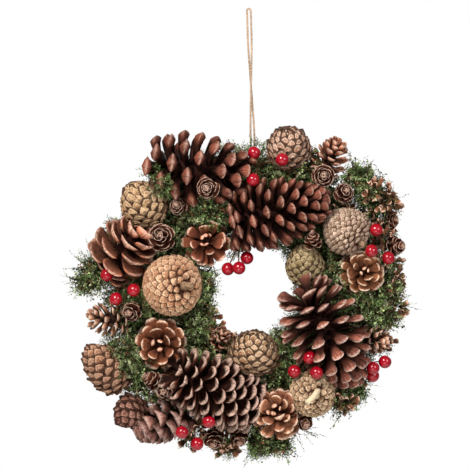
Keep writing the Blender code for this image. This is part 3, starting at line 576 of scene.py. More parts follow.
def scale_shape(name, stations, cup, corner, flat_from=None):
    """One cone scale of length, width and thickness 1, as rings of eight corners."""
    verts = []
    marks = {"along": [], "rim": [], "upper": [], "across": []}
    for along, width, thickness, lift, rim in stations:
        for step in range(SCALE_CORNERS):
            side, over = corner_at(step, corner)
            height = over * thickness / 2 + lift + cup * side * side * width * width
            verts.append(Vector((along, side * width / 2, height)))
            marks["along"].append(along)
            marks["rim"].append(max(rim, abs(side) ** 3 * max(0.0, along - 0.45) * 1.8))
            marks["upper"].append(0.5 + 0.5 * over)
            marks["across"].append(side)
    faces = [tuple(range(SCALE_CORNERS))]
    for number in range(len(stations) - 1):
        near = number * SCALE_CORNERS
        far = near + SCALE_CORNERS
        for step in range(SCALE_CORNERS):
            beside = (step + 1) % SCALE_CORNERS
            faces.append((near + step, far + step, far + beside, near + beside))
    last = len(verts) - SCALE_CORNERS
    faces.append(tuple(last + step for step in reversed(range(SCALE_CORNERS))))
    made = closed_mesh(name, verts, faces, **marks)
    if flat_from is not None:
        for face in made.data.polygons[1 + flat_from * SCALE_CORNERS:]:
            face.use_smooth = False
    return made


def pad_shape(name, corner):
    """One scale of a shut cone: a low pad with a keel across it and a small point."""
    verts = []
    marks = {"along": [], "rim": []}
    for size, height, edge in PAD:
        for step in range(SCALE_CORNERS):
            along, side = corner_at(step, corner)
            keel = PAD_KEEL * (1 - abs(along)) if edge < 0.5 else 0.0
            verts.append(Vector((along * size / 2, side * size / 2, height + keel)))
            marks["along"].append(0.5 + 0.5 * along * size)
            marks["rim"].append(edge)
    verts.append(Vector(PAD_POINT))
    marks["along"].append(0.5)
    marks["rim"].append(0.30)
    faces = [tuple(range(SCALE_CORNERS))]
    for row in range(len(PAD) - 1):
        faces += band(row * SCALE_CORNERS, (row + 1) * SCALE_CORNERS, SCALE_CORNERS)
    last = (len(PAD) - 1) * SCALE_CORNERS
    for step in range(SCALE_CORNERS):
        faces.append((last + step, last + (step + 1) % SCALE_CORNERS, len(verts) - 1))
    return closed_mesh(name, verts, faces, False, **marks)


class Builder:
    """Adds nodes to a tree, each with its values and links given by socket."""

    def __init__(self, tree):
        self.nodes = tree.nodes
        self.links = tree.links

    def feed(self, value, target):
        """Link an output to a socket, or set the socket to a plain value."""
        if isinstance(value, bpy.types.NodeSocket):
            self.links.new(value, target)
        else:
            target.default_value = value

    def node(self, kind, inputs=(), **settings):
        made = self.nodes.new(kind)
        for label, value in settings.items():
            setattr(made, label, value)
        for socket, value in dict(inputs).items():
            self.feed(value, made.inputs[socket])
        return made


class Tree(Builder):
    """A geometry node tree under construction."""

    def __init__(self, name, inputs):
        self.group = bpy.data.node_groups.new(name, "GeometryNodeTree")
        self.group.is_modifier = True
        super().__init__(self.group)
        sockets = self.group.interface
        sockets.new_socket("Geometry", in_out="INPUT", socket_type="NodeSocketGeometry")
        sockets.new_socket("Geometry", in_out="OUTPUT", socket_type="NodeSocketGeometry")
        for label, kind, value in inputs:
            socket = sockets.new_socket(label, in_out="INPUT", socket_type="NodeSocket" + kind)
            if value is not None:
                socket.default_value = value
        self.start = self.node("NodeGroupInput").outputs

    def named(self, label, kind):
        """An attribute that the mesh carries."""
        made = self.node("GeometryNodeInputNamedAttribute", {"Name": label}, data_type=kind)
        return made.outputs["Attribute"]

    def chance(self, kind, low, high, **more):
        """A random value for each point. Each kind of value has its own sockets on the node."""
        slot = ("FLOAT_VECTOR", "FLOAT", "INT").index(kind)
        inputs = {2 * slot: low, 2 * slot + 1: high, "Seed": self.start["Seed"], **more}
        return self.node("FunctionNodeRandomValue", inputs, data_type=kind).outputs[slot]

    def any_way(self):
        """A random direction for each point."""
        return self.chance("FLOAT_VECTOR", (-1.0, -1.0, -1.0), (1.0, 1.0, 1.0))

    def math(self, how, first, second, third=0.5):
        inputs = {0: first, 1: second, 2: third}
        return self.node("ShaderNodeMath", inputs, operation=how).outputs["Value"]

    def scaled(self, vector, label):
        """A vector times a named input."""
        inputs = {"Vector": vector, "Scale": self.start[label]}
        return self.node("ShaderNodeVectorMath", inputs, operation="SCALE").outputs["Vector"]

    def led(self, aim, stray, label):
        """A direction led astray by another, as far as a named input says."""
        inputs = {0: aim, 1: self.scaled(stray, label)}
        return self.node("ShaderNodeVectorMath", inputs, operation="ADD").outputs["Vector"]

    def facing(self, aim, over):
        """The turn that points X along a direction, with Z toward its upper side."""
        inputs = {"Primary Axis": aim, "Secondary Axis": over}
        made = self.node("FunctionNodeAxesToRotation", inputs, primary_axis="X", secondary_axis="Z")
        return made.outputs["Rotation"]

    def sweep(self, curve, sides, radius):
        """A round rod along a curve, shut at its ends."""
        section = self.node("GeometryNodeCurvePrimitiveCircle", {"Resolution": sides, "Radius": radius})
        inputs = {"Curve": curve, "Profile Curve": section.outputs["Curve"], "Fill Caps": True}
        return self.node("GeometryNodeCurveToMesh", inputs).outputs["Mesh"]

    def finish(self, shapes, core=None, smooth=False):
        """Make instances real, give them their material and join the core in its own."""
        last = self.node("GeometryNodeRealizeInstances", {"Geometry": shapes}).outputs["Geometry"]
        if smooth:
            last = self.node("GeometryNodeSetShadeSmooth", {"Geometry": last}).outputs["Geometry"]
        last = self.dress(last, "Material")
        if core is not None:
            both = self.node("GeometryNodeJoinGeometry")
            self.links.new(self.dress(core, "Core material"), both.inputs["Geometry"])
            self.links.new(last, both.inputs["Geometry"])
            last = both.outputs["Geometry"]
        self.node("NodeGroupOutput", {"Geometry": last})
        return self.group

    def dress(self, geometry, material):
        inputs = {"Geometry": geometry, "Material": self.start[material]}
        return self.node("GeometryNodeSetMaterial", inputs).outputs["Geometry"]


def use_tree(piece, tree, values):
    """Run a node tree on a piece and keep the result as its plain mesh."""
    modifier = piece.modifiers.new("build", "NODES")
    modifier.node_group = tree
    for item in tree.interface.items_tree:
        if item.in_out == "INPUT" and item.name in values:
            modifier[item.identifier] = values[item.name]
    graph = bpy.context.evaluated_depsgraph_get()
    mesh = bpy.data.meshes.new_from_object(piece.evaluated_get(graph))
    mesh.name = piece.name
    if piece.type == "MESH":
        piece.modifiers.remove(modifier)
        old = piece.data
        piece.data = mesh
        bpy.data.meshes.remove(old)
        return piece
    name = piece.name
    bpy.data.objects.remove(piece)
    made = bpy.data.objects.new(name, mesh)
    bpy.context.scene.collection.objects.link(made)
    return made


def sites_tree():
    """Stands shapes on the marked points of a mesh and keeps its faces as their core."""
    tree = Tree("Shapes on marked points", (
        ("Shape", "Object", None),
        ("Second shape", "Object", None),
        ("Wander", "Float", 0.05),
        ("Seed", "Int", 1),
        ("Core material", "Material", None),
        ("Material", "Material", None),
    ))
    split = tree.node("GeometryNodeSeparateGeometry", {
        "Geometry": tree.start["Geometry"], "Selection": tree.named("site", "BOOLEAN")}).outputs
    aim = tree.led(tree.named("aim", "FLOAT_VECTOR"), tree.any_way(), "Wander")
    turn = tree.facing(aim, tree.named("over", "FLOAT_VECTOR"))
    size = tree.named("size", "FLOAT_VECTOR")
    kinds = tree.node("GeometryNodeSeparateGeometry", {
        "Geometry": split["Selection"], "Selection": tree.named("second", "BOOLEAN")}).outputs
    stood = tree.node("GeometryNodeJoinGeometry")
    for label, points in (("Shape", kinds["Inverted"]), ("Second shape", kinds["Selection"])):
        shape = tree.node("GeometryNodeObjectInfo", {"Object": tree.start[label], "As Instance": True})
        placed = tree.node("GeometryNodeInstanceOnPoints", {
            "Points": points, "Instance": shape.outputs["Geometry"], "Rotation": turn, "Scale": size})
        tree.links.new(placed.outputs["Instances"], stood.inputs["Geometry"])
    return tree.finish(stood.outputs["Geometry"], split["Inverted"])


def with_sites(name, verts, faces, sites):
    """A core mesh with loose points that say where and how each shape stands: place, aim, upper
    side, size and tint. A sixth item in a site asks for the second shape."""
    count = len(verts)
    made = closed_mesh(name, verts + [site[0] for site in sites], faces)
    mesh = made.data
    mark(mesh, "site", [False] * count + [True] * len(sites), "BOOLEAN")
    mark(mesh, "aim", [Vector((1, 0, 0))] * count + [site[1] for site in sites], "FLOAT_VECTOR")
    mark(mesh, "over", [Vector((0, 0, 1))] * count + [site[2] for site in sites], "FLOAT_VECTOR")
    mark(mesh, "size", [Vector((1, 1, 1))] * count + [Vector(site[3]) for site in sites], "FLOAT_VECTOR")
    mark(mesh, "tint", [0.5] * count + [site[4] for site in sites])
    mark(mesh, "second", [False] * count + [len(site) > 5 for site in sites], "BOOLEAN")
    return made


def settle(piece, slot, *nodes):
    """Hand a finished piece to the frame."""
    if nodes:
        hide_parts(*nodes)
    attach(piece, "root")


def lathe(place, profile, sides):
    """A closed body of revolution: place(share, angle, out) for each share and radius."""
    verts = [place(profile[0][0], 0.0, 0.0)]
    faces = []
    for share, out in profile[1:-1]:
        for step in range(sides):
            verts.append(place(share, 2 * math.pi * step / sides, out))
    verts.append(place(profile[-1][0], 0.0, 0.0))
    rows = len(profile) - 2
    for step in range(sides):
        beside = (step + 1) % sides
        faces.append((0, 1 + beside, 1 + step))
        for row in range(rows - 1):
            near = 1 + row * sides
            far = near + sides
            faces.append((near + step, near + beside, far + beside, far + step))
        last = 1 + (rows - 1) * sides
        faces.append((last + step, last + beside, len(verts) - 1))
    return verts, faces


class Look(Builder):
    """A material under construction, its colour led by marks on the mesh."""

    def __init__(self, name, roughness, specular=0.12):
        self.material = bpy.data.materials.new(name)
        self.material.use_nodes = True
        super().__init__(self.material.node_tree)
        self.shader = self.nodes["Principled BSDF"]
        self.shader.inputs["Roughness"].default_value = roughness
        self.shader.inputs["Specular IOR Level"].default_value = specular

    def marked(self, name):
        return self.node("ShaderNodeAttribute", attribute_name=name).outputs["Fac"]

    def places(self):
        return self.node("ShaderNodeTexCoord").outputs["Object"]

    def noise(self, scale, detail, places=None):
        inputs = {"Vector": places or self.places(), "Scale": scale, "Detail": detail}
        return self.node("ShaderNodeTexNoise", inputs).outputs["Fac"]

    def grain(self, scale):
        """The shared grain's mask and height, on the piece's own coordinates."""
        inputs = {"Vector": self.places(), "Scale": scale}
        return self.node("ShaderNodeGroup", inputs, node_tree=grain_group()).outputs

    def mix(self, share, first, second):
        """One colour over another, as far as a mask says."""
        made = self.node("ShaderNodeMix", data_type="RGBA")
        inputs = {item.identifier: item for item in made.inputs}
        self.feed(share, inputs["Factor_Float"])
        for socket, value in (("A_Color", first), ("B_Color", second)):
            self.feed(value if isinstance(value, bpy.types.NodeSocket) else (*value, 1.0), inputs[socket])
        return next(item for item in made.outputs if item.identifier == "Result_Color")

    def math(self, how, first, second):
        return self.node("ShaderNodeMath", {0: first, 1: second}, operation=how).outputs["Value"]

    def times(self, first, second):
        return self.math("MULTIPLY", first, second)

    def spread(self, value, low, high, new_low=0.0, new_high=1.0):
        """A mask drawn from one range of values onto another."""
        inputs = {"Value": value, "From Min": low, "From Max": high, "To Min": new_low, "To Max": new_high}
        return self.node("ShaderNodeMapRange", inputs).outputs["Result"]

    def bump(self, height, strength, distance):
        made = self.node("ShaderNodeBump", {"Strength": strength, "Distance": distance, "Height": height})
        self.links.new(made.outputs["Normal"], self.shader.inputs["Normal"])

    def paint(self, colour, roughness=None):
        """Give the shader its colour, and hand back the material."""
        self.feed(colour, self.shader.inputs["Base Color"])
        if roughness is not None:
            self.feed(roughness, self.shader.inputs["Roughness"])
        return self.material


def grain_group():
    """Shared dry wood and bark grain: a mask from coarse noise and a height from fine noise."""
    found = bpy.data.node_groups.get("Dry grain")
    if found:
        return found
    group = bpy.data.node_groups.new("Dry grain", "ShaderNodeTree")
    for label, way, kind in (("Vector", "INPUT", "Vector"), ("Scale", "INPUT", "Float"),
                             ("Blotch", "OUTPUT", "Float"), ("Height", "OUTPUT", "Float")):
        group.interface.new_socket(label, in_out=way, socket_type="NodeSocket" + kind)
    build = Builder(group)
    start = build.node("NodeGroupInput").outputs
    coarse = build.node("ShaderNodeTexNoise", {
        "Vector": start["Vector"], "Scale": start["Scale"], "Detail": 3.0})
    finer = build.node("ShaderNodeMath", {0: start["Scale"], 1: 4.0}, operation="MULTIPLY")
    fine = build.node("ShaderNodeTexNoise", {
        "Vector": start["Vector"], "Scale": finer.outputs["Value"], "Detail": 4.0, "Roughness": 0.7})
    build.node("NodeGroupOutput", {"Blotch": coarse.outputs["Fac"], "Height": fine.outputs["Fac"]})
    return group


def scale_look(name, face, rim, root, rim_share, upper_shade, reach=(0.15, 0.85), edge=(0.55, 1.0)):
    """Cone scale: painted shade at its root, on its covered upper side and in its pits, coloured at its
    head, worn pale along its rim.
    """
    look = Look(name, 0.62)
    grain = look.grain(260.0)
    along = look.marked("along")
    tint = look.marked("tint")
    # Painted shade: toward its root the scale takes the root colour, the shade between the scales
    headed = look.spread(along, *reach)
    blotched = look.times(headed, look.spread(grain["Blotch"], 0.3, 0.55, 0.35, 1.0))
    colour = look.mix(blotched, root, face)
    warm = (min(1.0, face[0] * 1.7), face[1] * 1.6, face[2] * 1.5)
    colour = look.mix(look.times(look.spread(tint, 0.3, 0.95), look.times(headed, 0.6)), colour, warm)
    # Painted shade: the upper side, covered by the next scale, is drawn toward the root colour, except along
    # the rim
    inner = look.times(look.spread(look.marked("upper"), 0.55, 0.9), upper_shade)
    inner = look.times(inner, look.spread(look.marked("rim"), 0.98, 0.6))
    colour = look.mix(inner, colour, root)
    patchy = look.spread(grain["Height"], 0.35, 0.6, 0.25, 1.0)
    worn = look.times(look.spread(look.marked("rim"), *edge), patchy)
    colour = look.mix(look.times(worn, rim_share), colour, rim)
    lines = look.node("ShaderNodeCombineXYZ", {
        "X": look.times(look.marked("across"), 3.4), "Y": along, "Z": look.times(tint, 40.0)})
    streak = look.noise(1.5, 3.0, lines.outputs["Vector"])
    colour = look.mix(look.times(look.spread(streak, 0.53, 0.36), 0.75), colour, shade(face, 0.25))
    # Painted shade in the pits: darker where the bump's height is low
    pit_shade = look.times(look.spread(grain["Height"], 0.47, 0.35), 0.5)
    colour = look.mix(pit_shade, colour, shade(face, 0.3))
    look.bump(grain["Height"], 0.9, 0.0014)
    return look.paint(colour, look.spread(grain["Height"], 0.3, 0.7, 0.45, 0.75))


def pad_look(name, face, pale, furrow):
    """Shut cone: rough tan pads, painted shade in the furrows between them and on their buried root side, a
    painted highlight along their free front edge.
    """
    look = Look(name, 0.7)
    grain = look.grain(330.0)
    speck = look.grain(190.0)
    along = look.marked("along")
    colour = look.mix(look.spread(look.marked("tint"), 0.1, 0.9), shade(face, 0.72), pale)
    # Painted shade in the pits: darker where the bump's height is low
    colour = look.mix(look.spread(grain["Height"], 0.38, 0.56), shade(face, 0.45), colour)
    colour = look.mix(look.spread(grain["Blotch"], 0.56, 0.40, 0.0, 0.55), colour, shade(face, 0.45))
    # Painted highlight: the free front edge of each pad is painted paler, as if lit
    edge = look.times(look.spread(look.marked("rim"), 0.05, 0.22), look.spread(along, 0.60, 0.85))
    colour = look.mix(look.times(edge, 0.6), colour, shade(pale, 1.15))
    colour = look.mix(look.spread(speck["Height"], 0.52, 0.62, 0.0, 0.6), colour, shade(pale, 1.12))
    stain = (face[0] * 0.42, face[1] * 0.26, face[2] * 0.20)
    colour = look.mix(look.spread(speck["Height"], 0.47, 0.38, 0.0, 0.8), colour, stain)
    # Painted shade: the sides of each pad and its root side, buried under the pad before it, take the
    # furrow's shade colour
    sunk_shade = look.spread(look.marked("rim"), 0.40, 0.80)
    buried_shade = look.math("MAXIMUM", look.spread(along, 0.52, 0.12), sunk_shade)
    colour = look.mix(look.times(buried_shade, 0.92), colour, furrow)
    look.bump(grain["Height"], 1.0, 0.0014)
    return look.paint(colour, look.spread(grain["Height"], 0.3, 0.7, 0.55, 0.85))


def plain_look(name, colour, other, scale, roughness=0.75, height=0.0006):
    """A dry surface of two tones in blotches."""
    look = Look(name, roughness)
    grain = look.grain(scale)
    mixed = look.mix(look.spread(grain["Blotch"], 0.3, 0.7), colour, other)
    look.bump(grain["Height"], 0.5, height)
    return look.paint(mixed)


def room_along(tree, start, aim, length):
    """Free way from a place, up to a length."""
    _, _, _, distance = tree.ray_cast(start, aim, length)
    return length if distance is None else distance


class OpenCone:
    """The same cone as in the frame, with more and finer scales."""

    def __init__(self, name, spec):
        right, up, rise, heading, lean, radius, length = spec
        self.style = STYLES.get(name, ROSETTE_STYLE)
        self.luck = random.Random(name)
        self.axis = pointing(heading, lean)
        self.first, self.second = across(self.axis)
        self.radius = radius * MM
        self.core_length = length * MM * self.style["core_length"]
        self.core_radius = self.radius * self.style["core_radius"]
        self.base = at(right, up, rise) - self.axis * (length * MM * self.style["core_start"])
        self.stalked = lean > STALK_LEAN or name == STALKED_CONE
        self.tree = neighbours(name)

    def place(self, share, angle, out):
        """A place at a share of the core's length, an angle round it and a distance from its axis."""
        along = self.base + self.axis * (share * self.core_length)
        return along + around(self.first, self.second, angle) * out

    def girth(self, share):
        """The core's radius, fullest in its middle."""
        return self.core_radius * (0.55 + 0.45 * math.sin(math.pi * (0.14 + 0.72 * share)))

    def core(self):
        """The body between the scales, with a stalk to the ring where it has one."""
        profile = [(-0.03, 0.0)]
        for step in range(OPEN_CORE_STEPS + 1):
            share = step / OPEN_CORE_STEPS
            taper = 1.0 - max(0.0, (share - 0.7) / 0.34) ** 2
            profile.append((share, self.girth(share) * taper * (0.86 if step else 0.6)))
        profile.append((1.02, 0.0))
        if self.stalked:
            reach = room_along(self.tree, self.base, -self.axis, STALK_REACH)
            if reach < STALK_REACH:
                end = -(reach - GAP) / self.core_length
                profile = [(end, 0.0), (end, STALK_TIP), (-0.02, STALK_FOOT)] + profile[1:]
        return lathe(self.place, profile, OPEN_CORE_SIDES)

    def leant(self, steep, angle):
        """Outward direction, aim and upper side of a scale at an angle from the cone's axis."""
        out = around(self.first, self.second, angle)
        aim = self.axis * math.cos(steep) + out * math.sin(steep)
        over = self.axis * math.sin(steep) - out * math.cos(steep)
        return out, aim, over

    def best_way(self, root, full, angle, lean, wobble):
        """The share of a scale's length that can stand free, with its aim and upper side."""
        best = (0.0, None, None)
        half = self.style["width"] * self.radius * 0.4
        for tilt, swing in TRIES:
            out, aim, over = self.leant(lean + tilt + wobble, angle + swing)
            side = self.axis.cross(out)
            reach = 1.0
            for away in (-1, 0, 1):
                way = (aim * full + side * (away * half)).normalized()
                free = room_along(self.tree, root + aim * ROOT_OFFSET, way, full * LOOK_AHEAD)
                if free < full * LOOK_AHEAD:
                    reach = min(reach, (free + TIP_SINK) / full)
            reach = min(reach, self.hole_room(root, aim, full))
            if reach > best[0] + BETTER_REACH:
                best = (reach, aim, over)
            if reach > GOOD_REACH:
                break
        return best

    def sites(self):
        """Place, aim, upper side, size and tint of each scale."""
        style = self.style
        vary = style.get("vary", 0.07)
        found = []
        turn = self.luck.uniform(0, 2 * math.pi)
        for number in range(style["count"]):
            share = (number + 0.5) / style["count"]
            angle = turn + number * GOLDEN
            root = self.place(share, angle, self.girth(share) * 0.6)
            fullness = 1.0 - style["end_drop"] * abs(share - 0.4) ** 1.5
            full = (self.radius - self.core_radius) * fullness * style.get("reach", 1.0)
            late = share ** style["bend_power"]
            lean = math.radians(blend(style["base_angle"], style["tip_angle"], late))
            reach, aim, over = self.best_way(root, full, angle, lean, self.luck.uniform(-0.06, 0.06))
            if reach < style["least"]:
                continue
            if number >= style["count"] - style.get("knobs", 0):
                found.append(self.knob(share, angle, full * reach))
                continue
            size = (0.55 + 0.45 * reach) * (1.0 - 0.35 * share) * self.luck.uniform(1 - vary, 1 + vary)
            width = style["width"] * self.radius * size
            thickness = style["thickness"] * MM * (0.6 + 0.4 * size)
            found.append((root, aim, over, (full * reach, width, thickness), self.luck.random()))
        return found

    def knob(self, share, angle, length):
        """A narrow scale of the heart, which shows only its swollen end."""
        late = max(0.0, share - 0.68) / 0.32
        steep = math.radians(blend(58, 12, late)) + self.luck.uniform(-0.15, 0.15)
        _, aim, over = self.leant(steep, angle)
        wide = self.radius * self.luck.uniform(0.17, 0.27)
        size = (length * self.luck.uniform(0.40, 0.72), wide, wide * self.luck.uniform(0.5, 0.9))
        root = self.place(share, angle, self.core_radius * 0.4)
        return root, aim, over, size, self.luck.random(), True

    def hole_room(self, root, aim, full):
        """Share of a scale's length that stays out of the open middle and in front of the back."""
        share = 1.0
        while share > 0.1:
            tip = root + aim * (full * share)
            right = (tip.x - RING_X) / MM - HOLE_X
            up = (tip.z - RING_Z) / MM - HOLE_Z
            if right * right + up * up > HOLE_RADIUS * HOLE_RADIUS and tip.y < BACK_Y:
                break
            share -= 0.08
        return share


def build_cone(name, spec, slot, tree, shapes, core, look, seed):
    """Make one open cone from the shapes of its scales and of its heart's scales."""
    cone = OpenCone(name, spec)
    verts, faces = cone.core()
    piece = with_sites("fine_" + name, verts, faces, cone.sites())
    piece = use_tree(piece, tree, {
        "Shape": shapes[0], "Second shape": shapes[-1], "Wander": cone.style.get("wander", 0.07),
        "Seed": seed, "Core material": core, "Material": look})
    settle(piece, slot, name)


def egg(share, radius):
    """Radius of an egg-shaped cone, fuller toward its base."""
    along = 2 * share - 1
    return radius * math.sqrt(max(0.0, 1 - along * along)) * (1 - 0.22 * along)


def closed_cone(name):
    """Core and scale places of a shut cone, its base and its axis."""
    right, up, rise, heading, lean, radius, length = CLOSED_CONES[name]
    count, opened, uneven = PAD_STYLES[name]
    luck = random.Random(name)
    axis = pointing(heading, lean)
    first, second = across(axis)
    base = at(right, up, rise) - axis * (length * MM / 2) + axis * (0.09 * radius * MM)
    bare = BARE_RADIUS if name == BARE_CONE else 0.0

    def place(share, angle, out):
        return base + axis * (share * length * MM) + around(first, second, angle) * out

    def skin(share, angle, depth=1.0):
        return place(share, angle, egg(share, radius * MM) * depth)

    profile = [(0.0, 0.0)]
    if bare:
        profile = [(0.09, 0.0), (0.08, bare * 0.3), (0.03, bare * 0.62)]
    for step in range(1, SHUT_CORE_STEPS):
        share = 0.5 - 0.5 * math.cos(math.pi * step / SHUT_CORE_STEPS)
        out = egg(share, radius * MM) * 0.93
        if out > bare * 0.8:
            profile.append((share, out))
    profile.append((1.0, 0.0))
    verts, faces = lathe(place, profile, SHUT_CORE_SIDES)
    area = 4 * math.pi * (radius * MM) ** 2 * (0.35 + 0.65 * length / (2 * radius))
    pitch = math.sqrt(area / count)
    sites = []
    for number in range(count):
        share = (number + 0.5) / count
        out = egg(share, radius * MM)
        angle = number * GOLDEN + luck.uniform(-uneven, uneven) * pitch / max(pitch, out)
        here = skin(share, angle, 0.97)
        along = (skin(min(1.0, share + 0.01), angle) - skin(max(0.0, share - 0.01), angle)).normalized()
        away = along.cross(axis.cross(around(first, second, angle))).normalized()
        if away.dot(here - place(0.5, 0.0, 0.0)) < 0:
            away = -away
        tilt = math.radians(opened) + luck.uniform(-0.10, 0.14)
        aim = along * math.cos(tilt) + away * math.sin(tilt)
        over = away * math.cos(tilt) - along * math.sin(tilt)
        grow = luck.uniform(0.84, 1.14)
        if bare and share < 0.12:
            grow *= 0.84 + 1.3 * share
        if out < (bare or LEAST_GIRTH) and share < 0.5:
            continue
        size = (1.72 * pitch * grow, 1.52 * pitch * grow, luck.uniform(0.19, 0.31) * pitch)
        sites.append((here, aim, over, size, luck.random()))
    return verts, faces, sites, base, axis


class WREATH_OT_stage(bpy.types.Operator):
    """Camera, lights, white surroundings and a pale floor"""

    bl_idname = "wreath.stage"
    bl_label = "Stage"

    def execute(self, context):
        scene = context.scene
        view = bpy.data.cameras.new("front_camera")
        view.sensor_width = SENSOR_WIDTH
        view.lens = SENSOR_WIDTH * VIEW_DISTANCE / VIEW_WIDTH
        camera = bpy.data.objects.new("front_camera", view)
        camera.location = (VIEW_X, VIEW_Y - VIEW_DISTANCE, VIEW_Z)
        camera.rotation_euler = (math.pi / 2, 0.0, 0.0)
        scene.collection.objects.link(camera)
        scene.camera = camera

        for name, (place, size, power, colour) in LIGHTS.items():
            lamp = bpy.data.lights.new(name, "AREA")
            lamp.size = size
            lamp.energy = power
            lamp.color = colour
            light = bpy.data.objects.new(name, lamp)
            light.location = place
            aim = Vector(LIT_PLACE) - Vector(place)
            light.rotation_euler = aim.to_track_quat("-Z", "Y").to_euler()
            scene.collection.objects.link(light)

        world = bpy.data.worlds.new("white_room")
        world.use_nodes = True
        room = Builder(world.node_tree)
        lit = room.nodes["Background"]
        lit.inputs["Color"].default_value = WHITE
        lit.inputs["Strength"].default_value = ROOM_LIGHT
        seen = room.node("ShaderNodeBackground", {"Color": WHITE, "Strength": 1.0})
        path = room.node("ShaderNodeLightPath")
        mix = room.node("ShaderNodeMixShader", {
            "Fac": path.outputs["Is Camera Ray"],
            1: lit.outputs["Background"],
            2: seen.outputs["Background"],
        })
        room.links.new(mix.outputs["Shader"], room.nodes["World Output"].inputs["Surface"])
        scene.world = world
        scene.view_settings.view_transform = "Standard"

        corners = [(-1, -1), (1, -1), (1, 1), (-1, 1)]
        verts = [(right * FLOOR_HALF, back * FLOOR_HALF, FLOOR_Z) for right, back in corners]
        floor = mesh_object("floor", verts, [(0, 1, 2, 3)], False)
        look = plain_look("pale_floor", (0.80, 0.80, 0.79), (0.84, 0.84, 0.83), 6.0, 0.8, 0.0002)
        floor.data.materials.append(look)
        return {"FINISHED"}


def knot_top():
    """Where the hanging loop leaves the knot."""
    return at(TIE_X, KNOT_Z, KNOT_RISE) + Vector((0, 0, KNOT_TOP + GAP))


def twine_path():
    """Centre line of the hanging loop, from the knot up, over and down to the knot."""
    top = Vector((0, 0, TWINE_RADIUS - LOOP_SPREAD))
    rise = []
    for number in range(STRAND_STEPS + 1):
        share = number / STRAND_STEPS
        turn = math.pi * min(1.0, max(0.0, (share - TWIST_START) / TWIST_SHARE))
        spread = blend(LOOP_SPREAD, TWIST_SPREAD, math.sin(turn))
        middle = blend(knot_top(), top, share)
        rise.append((middle, Vector((math.cos(turn), math.sin(turn), 0)) * spread))
    left = [middle - offset for middle, offset in rise]
    right = [middle + offset for middle, offset in rise]
    arc = []
    for number in range(1, ARC_STEPS):
        angle = math.pi * number / ARC_STEPS
        arc.append(top + Vector((math.cos(angle), 0, math.sin(angle))) * LOOP_SPREAD)
    return left + arc + list(reversed(right))


def line_object(name, paths):
    """A curve object of one or more poly lines."""
    curve = bpy.data.curves.new(name, "CURVE")
    curve.dimensions = "3D"
    for path in paths:
        line = curve.splines.new("POLY")
        line.points.add(len(path) - 1)
        for number, point in enumerate(path):
            line.points[number].co = (*point, 1.0)
    made = bpy.data.objects.new(name, curve)
    bpy.context.scene.collection.objects.link(made)
    return made


def yarn_tree():
    """Three plies laid round each other along a line."""
    tree = Tree("Laid yarn", (
        ("Ply radius", "Float", 0.00062),
        ("Ply offset", "Float", 0.00058),
        ("Lay length", "Float", 0.009),
        ("Step", "Float", 0.0008),
        ("Material", "Material", None),
    ))
    start = tree.start
    even = tree.node("GeometryNodeResampleCurve", {
        "Curve": start["Geometry"], "Length": start["Step"]}, mode="LENGTH").outputs["Curve"]
    tangent = tree.node("GeometryNodeInputTangent").outputs["Tangent"]
    along = tree.node("GeometryNodeSplineParameter").outputs["Length"]
    turns = tree.math("DIVIDE", along, start["Lay length"])
    out = tree.scaled(tree.node("GeometryNodeInputNormal").outputs["Normal"], "Ply offset")
    joined = tree.node("GeometryNodeJoinGeometry")
    for ply in range(PLIES):
        angle = tree.math("MULTIPLY", tree.math("ADD", turns, ply / PLIES), 2 * math.pi)
        turned = tree.node("ShaderNodeVectorRotate", {
            "Vector": out, "Axis": tangent, "Angle": angle}, rotation_type="AXIS_ANGLE").outputs["Vector"]
        moved = tree.node("GeometryNodeSetPosition", {"Geometry": even, "Offset": turned})
        swept = tree.sweep(moved.outputs["Geometry"], PLY_SIDES, start["Ply radius"])
        tree.links.new(swept, joined.inputs["Geometry"])
    return tree.finish(joined.outputs["Geometry"], smooth=True)


def rods_tree():
    """Round rods along lines, such as straws, wires and thread."""
    tree = Tree("Rods along lines", (
        ("Radius", "Float", 0.0008),
        ("Sides", "Int", 5),
        ("Material", "Material", None),
    ))
    start = tree.start
    return tree.finish(tree.sweep(start["Geometry"], start["Sides"], start["Radius"]), smooth=True)


def rods(tree, name, lines, radius, sides, material):
    """Round rods along lines, as a plain mesh."""
    values = {"Radius": radius, "Sides": sides, "Material": material}
    return use_tree(line_object(name, lines), tree, values)


def ring_profile(inset, arcs=RING_ARCS):
    """Half-round section as distance from the ring's middle and rise, drawn in by an inset."""
    inner = RING_RADIUS - RING_HALF_WIDTH
    outer = RING_RADIUS + RING_HALF_WIDTH
    points = [(inner, 0.0), (inner, RING_DEPTH * RING_SHOULDER)]
    for step in range(1, arcs):
        angle = math.pi * (1 - step / arcs)
        rise = RING_DEPTH * (RING_SHOULDER + (1 - RING_SHOULDER) * math.sin(angle))
        points.append((RING_RADIUS + math.cos(angle) * RING_HALF_WIDTH, rise))
    points += [(outer, RING_DEPTH * RING_SHOULDER), (outer, 0.0)]
    drawn = []
    for number, point in enumerate(points):
        before = Vector(point) - Vector(points[number - 1])
        after = Vector(points[(number + 1) % len(points)]) - Vector(point)
        first = Vector((before.y, -before.x)).normalized()
        second = Vector((after.y, -after.x)).normalized()
        inward = (first + second) / (1 + first.dot(second))
        drawn.append(tuple(Vector(point) + inward * inset))
    return drawn


def section_place(radius, rise, side):
    """A place on the ring's section at a given distance beside its middle."""
    return Vector((RING_X + side, BACK_Y - rise, RING_Z + math.sqrt(radius * radius - side * side)))


def crosses_tie(line):
    """Whether a line along the ring comes near the twine's tie."""
    return any(abs(point.x - RING_X - TIE_X * MM) < TIE_CLEARANCE and point.z > RING_Z for point in line)


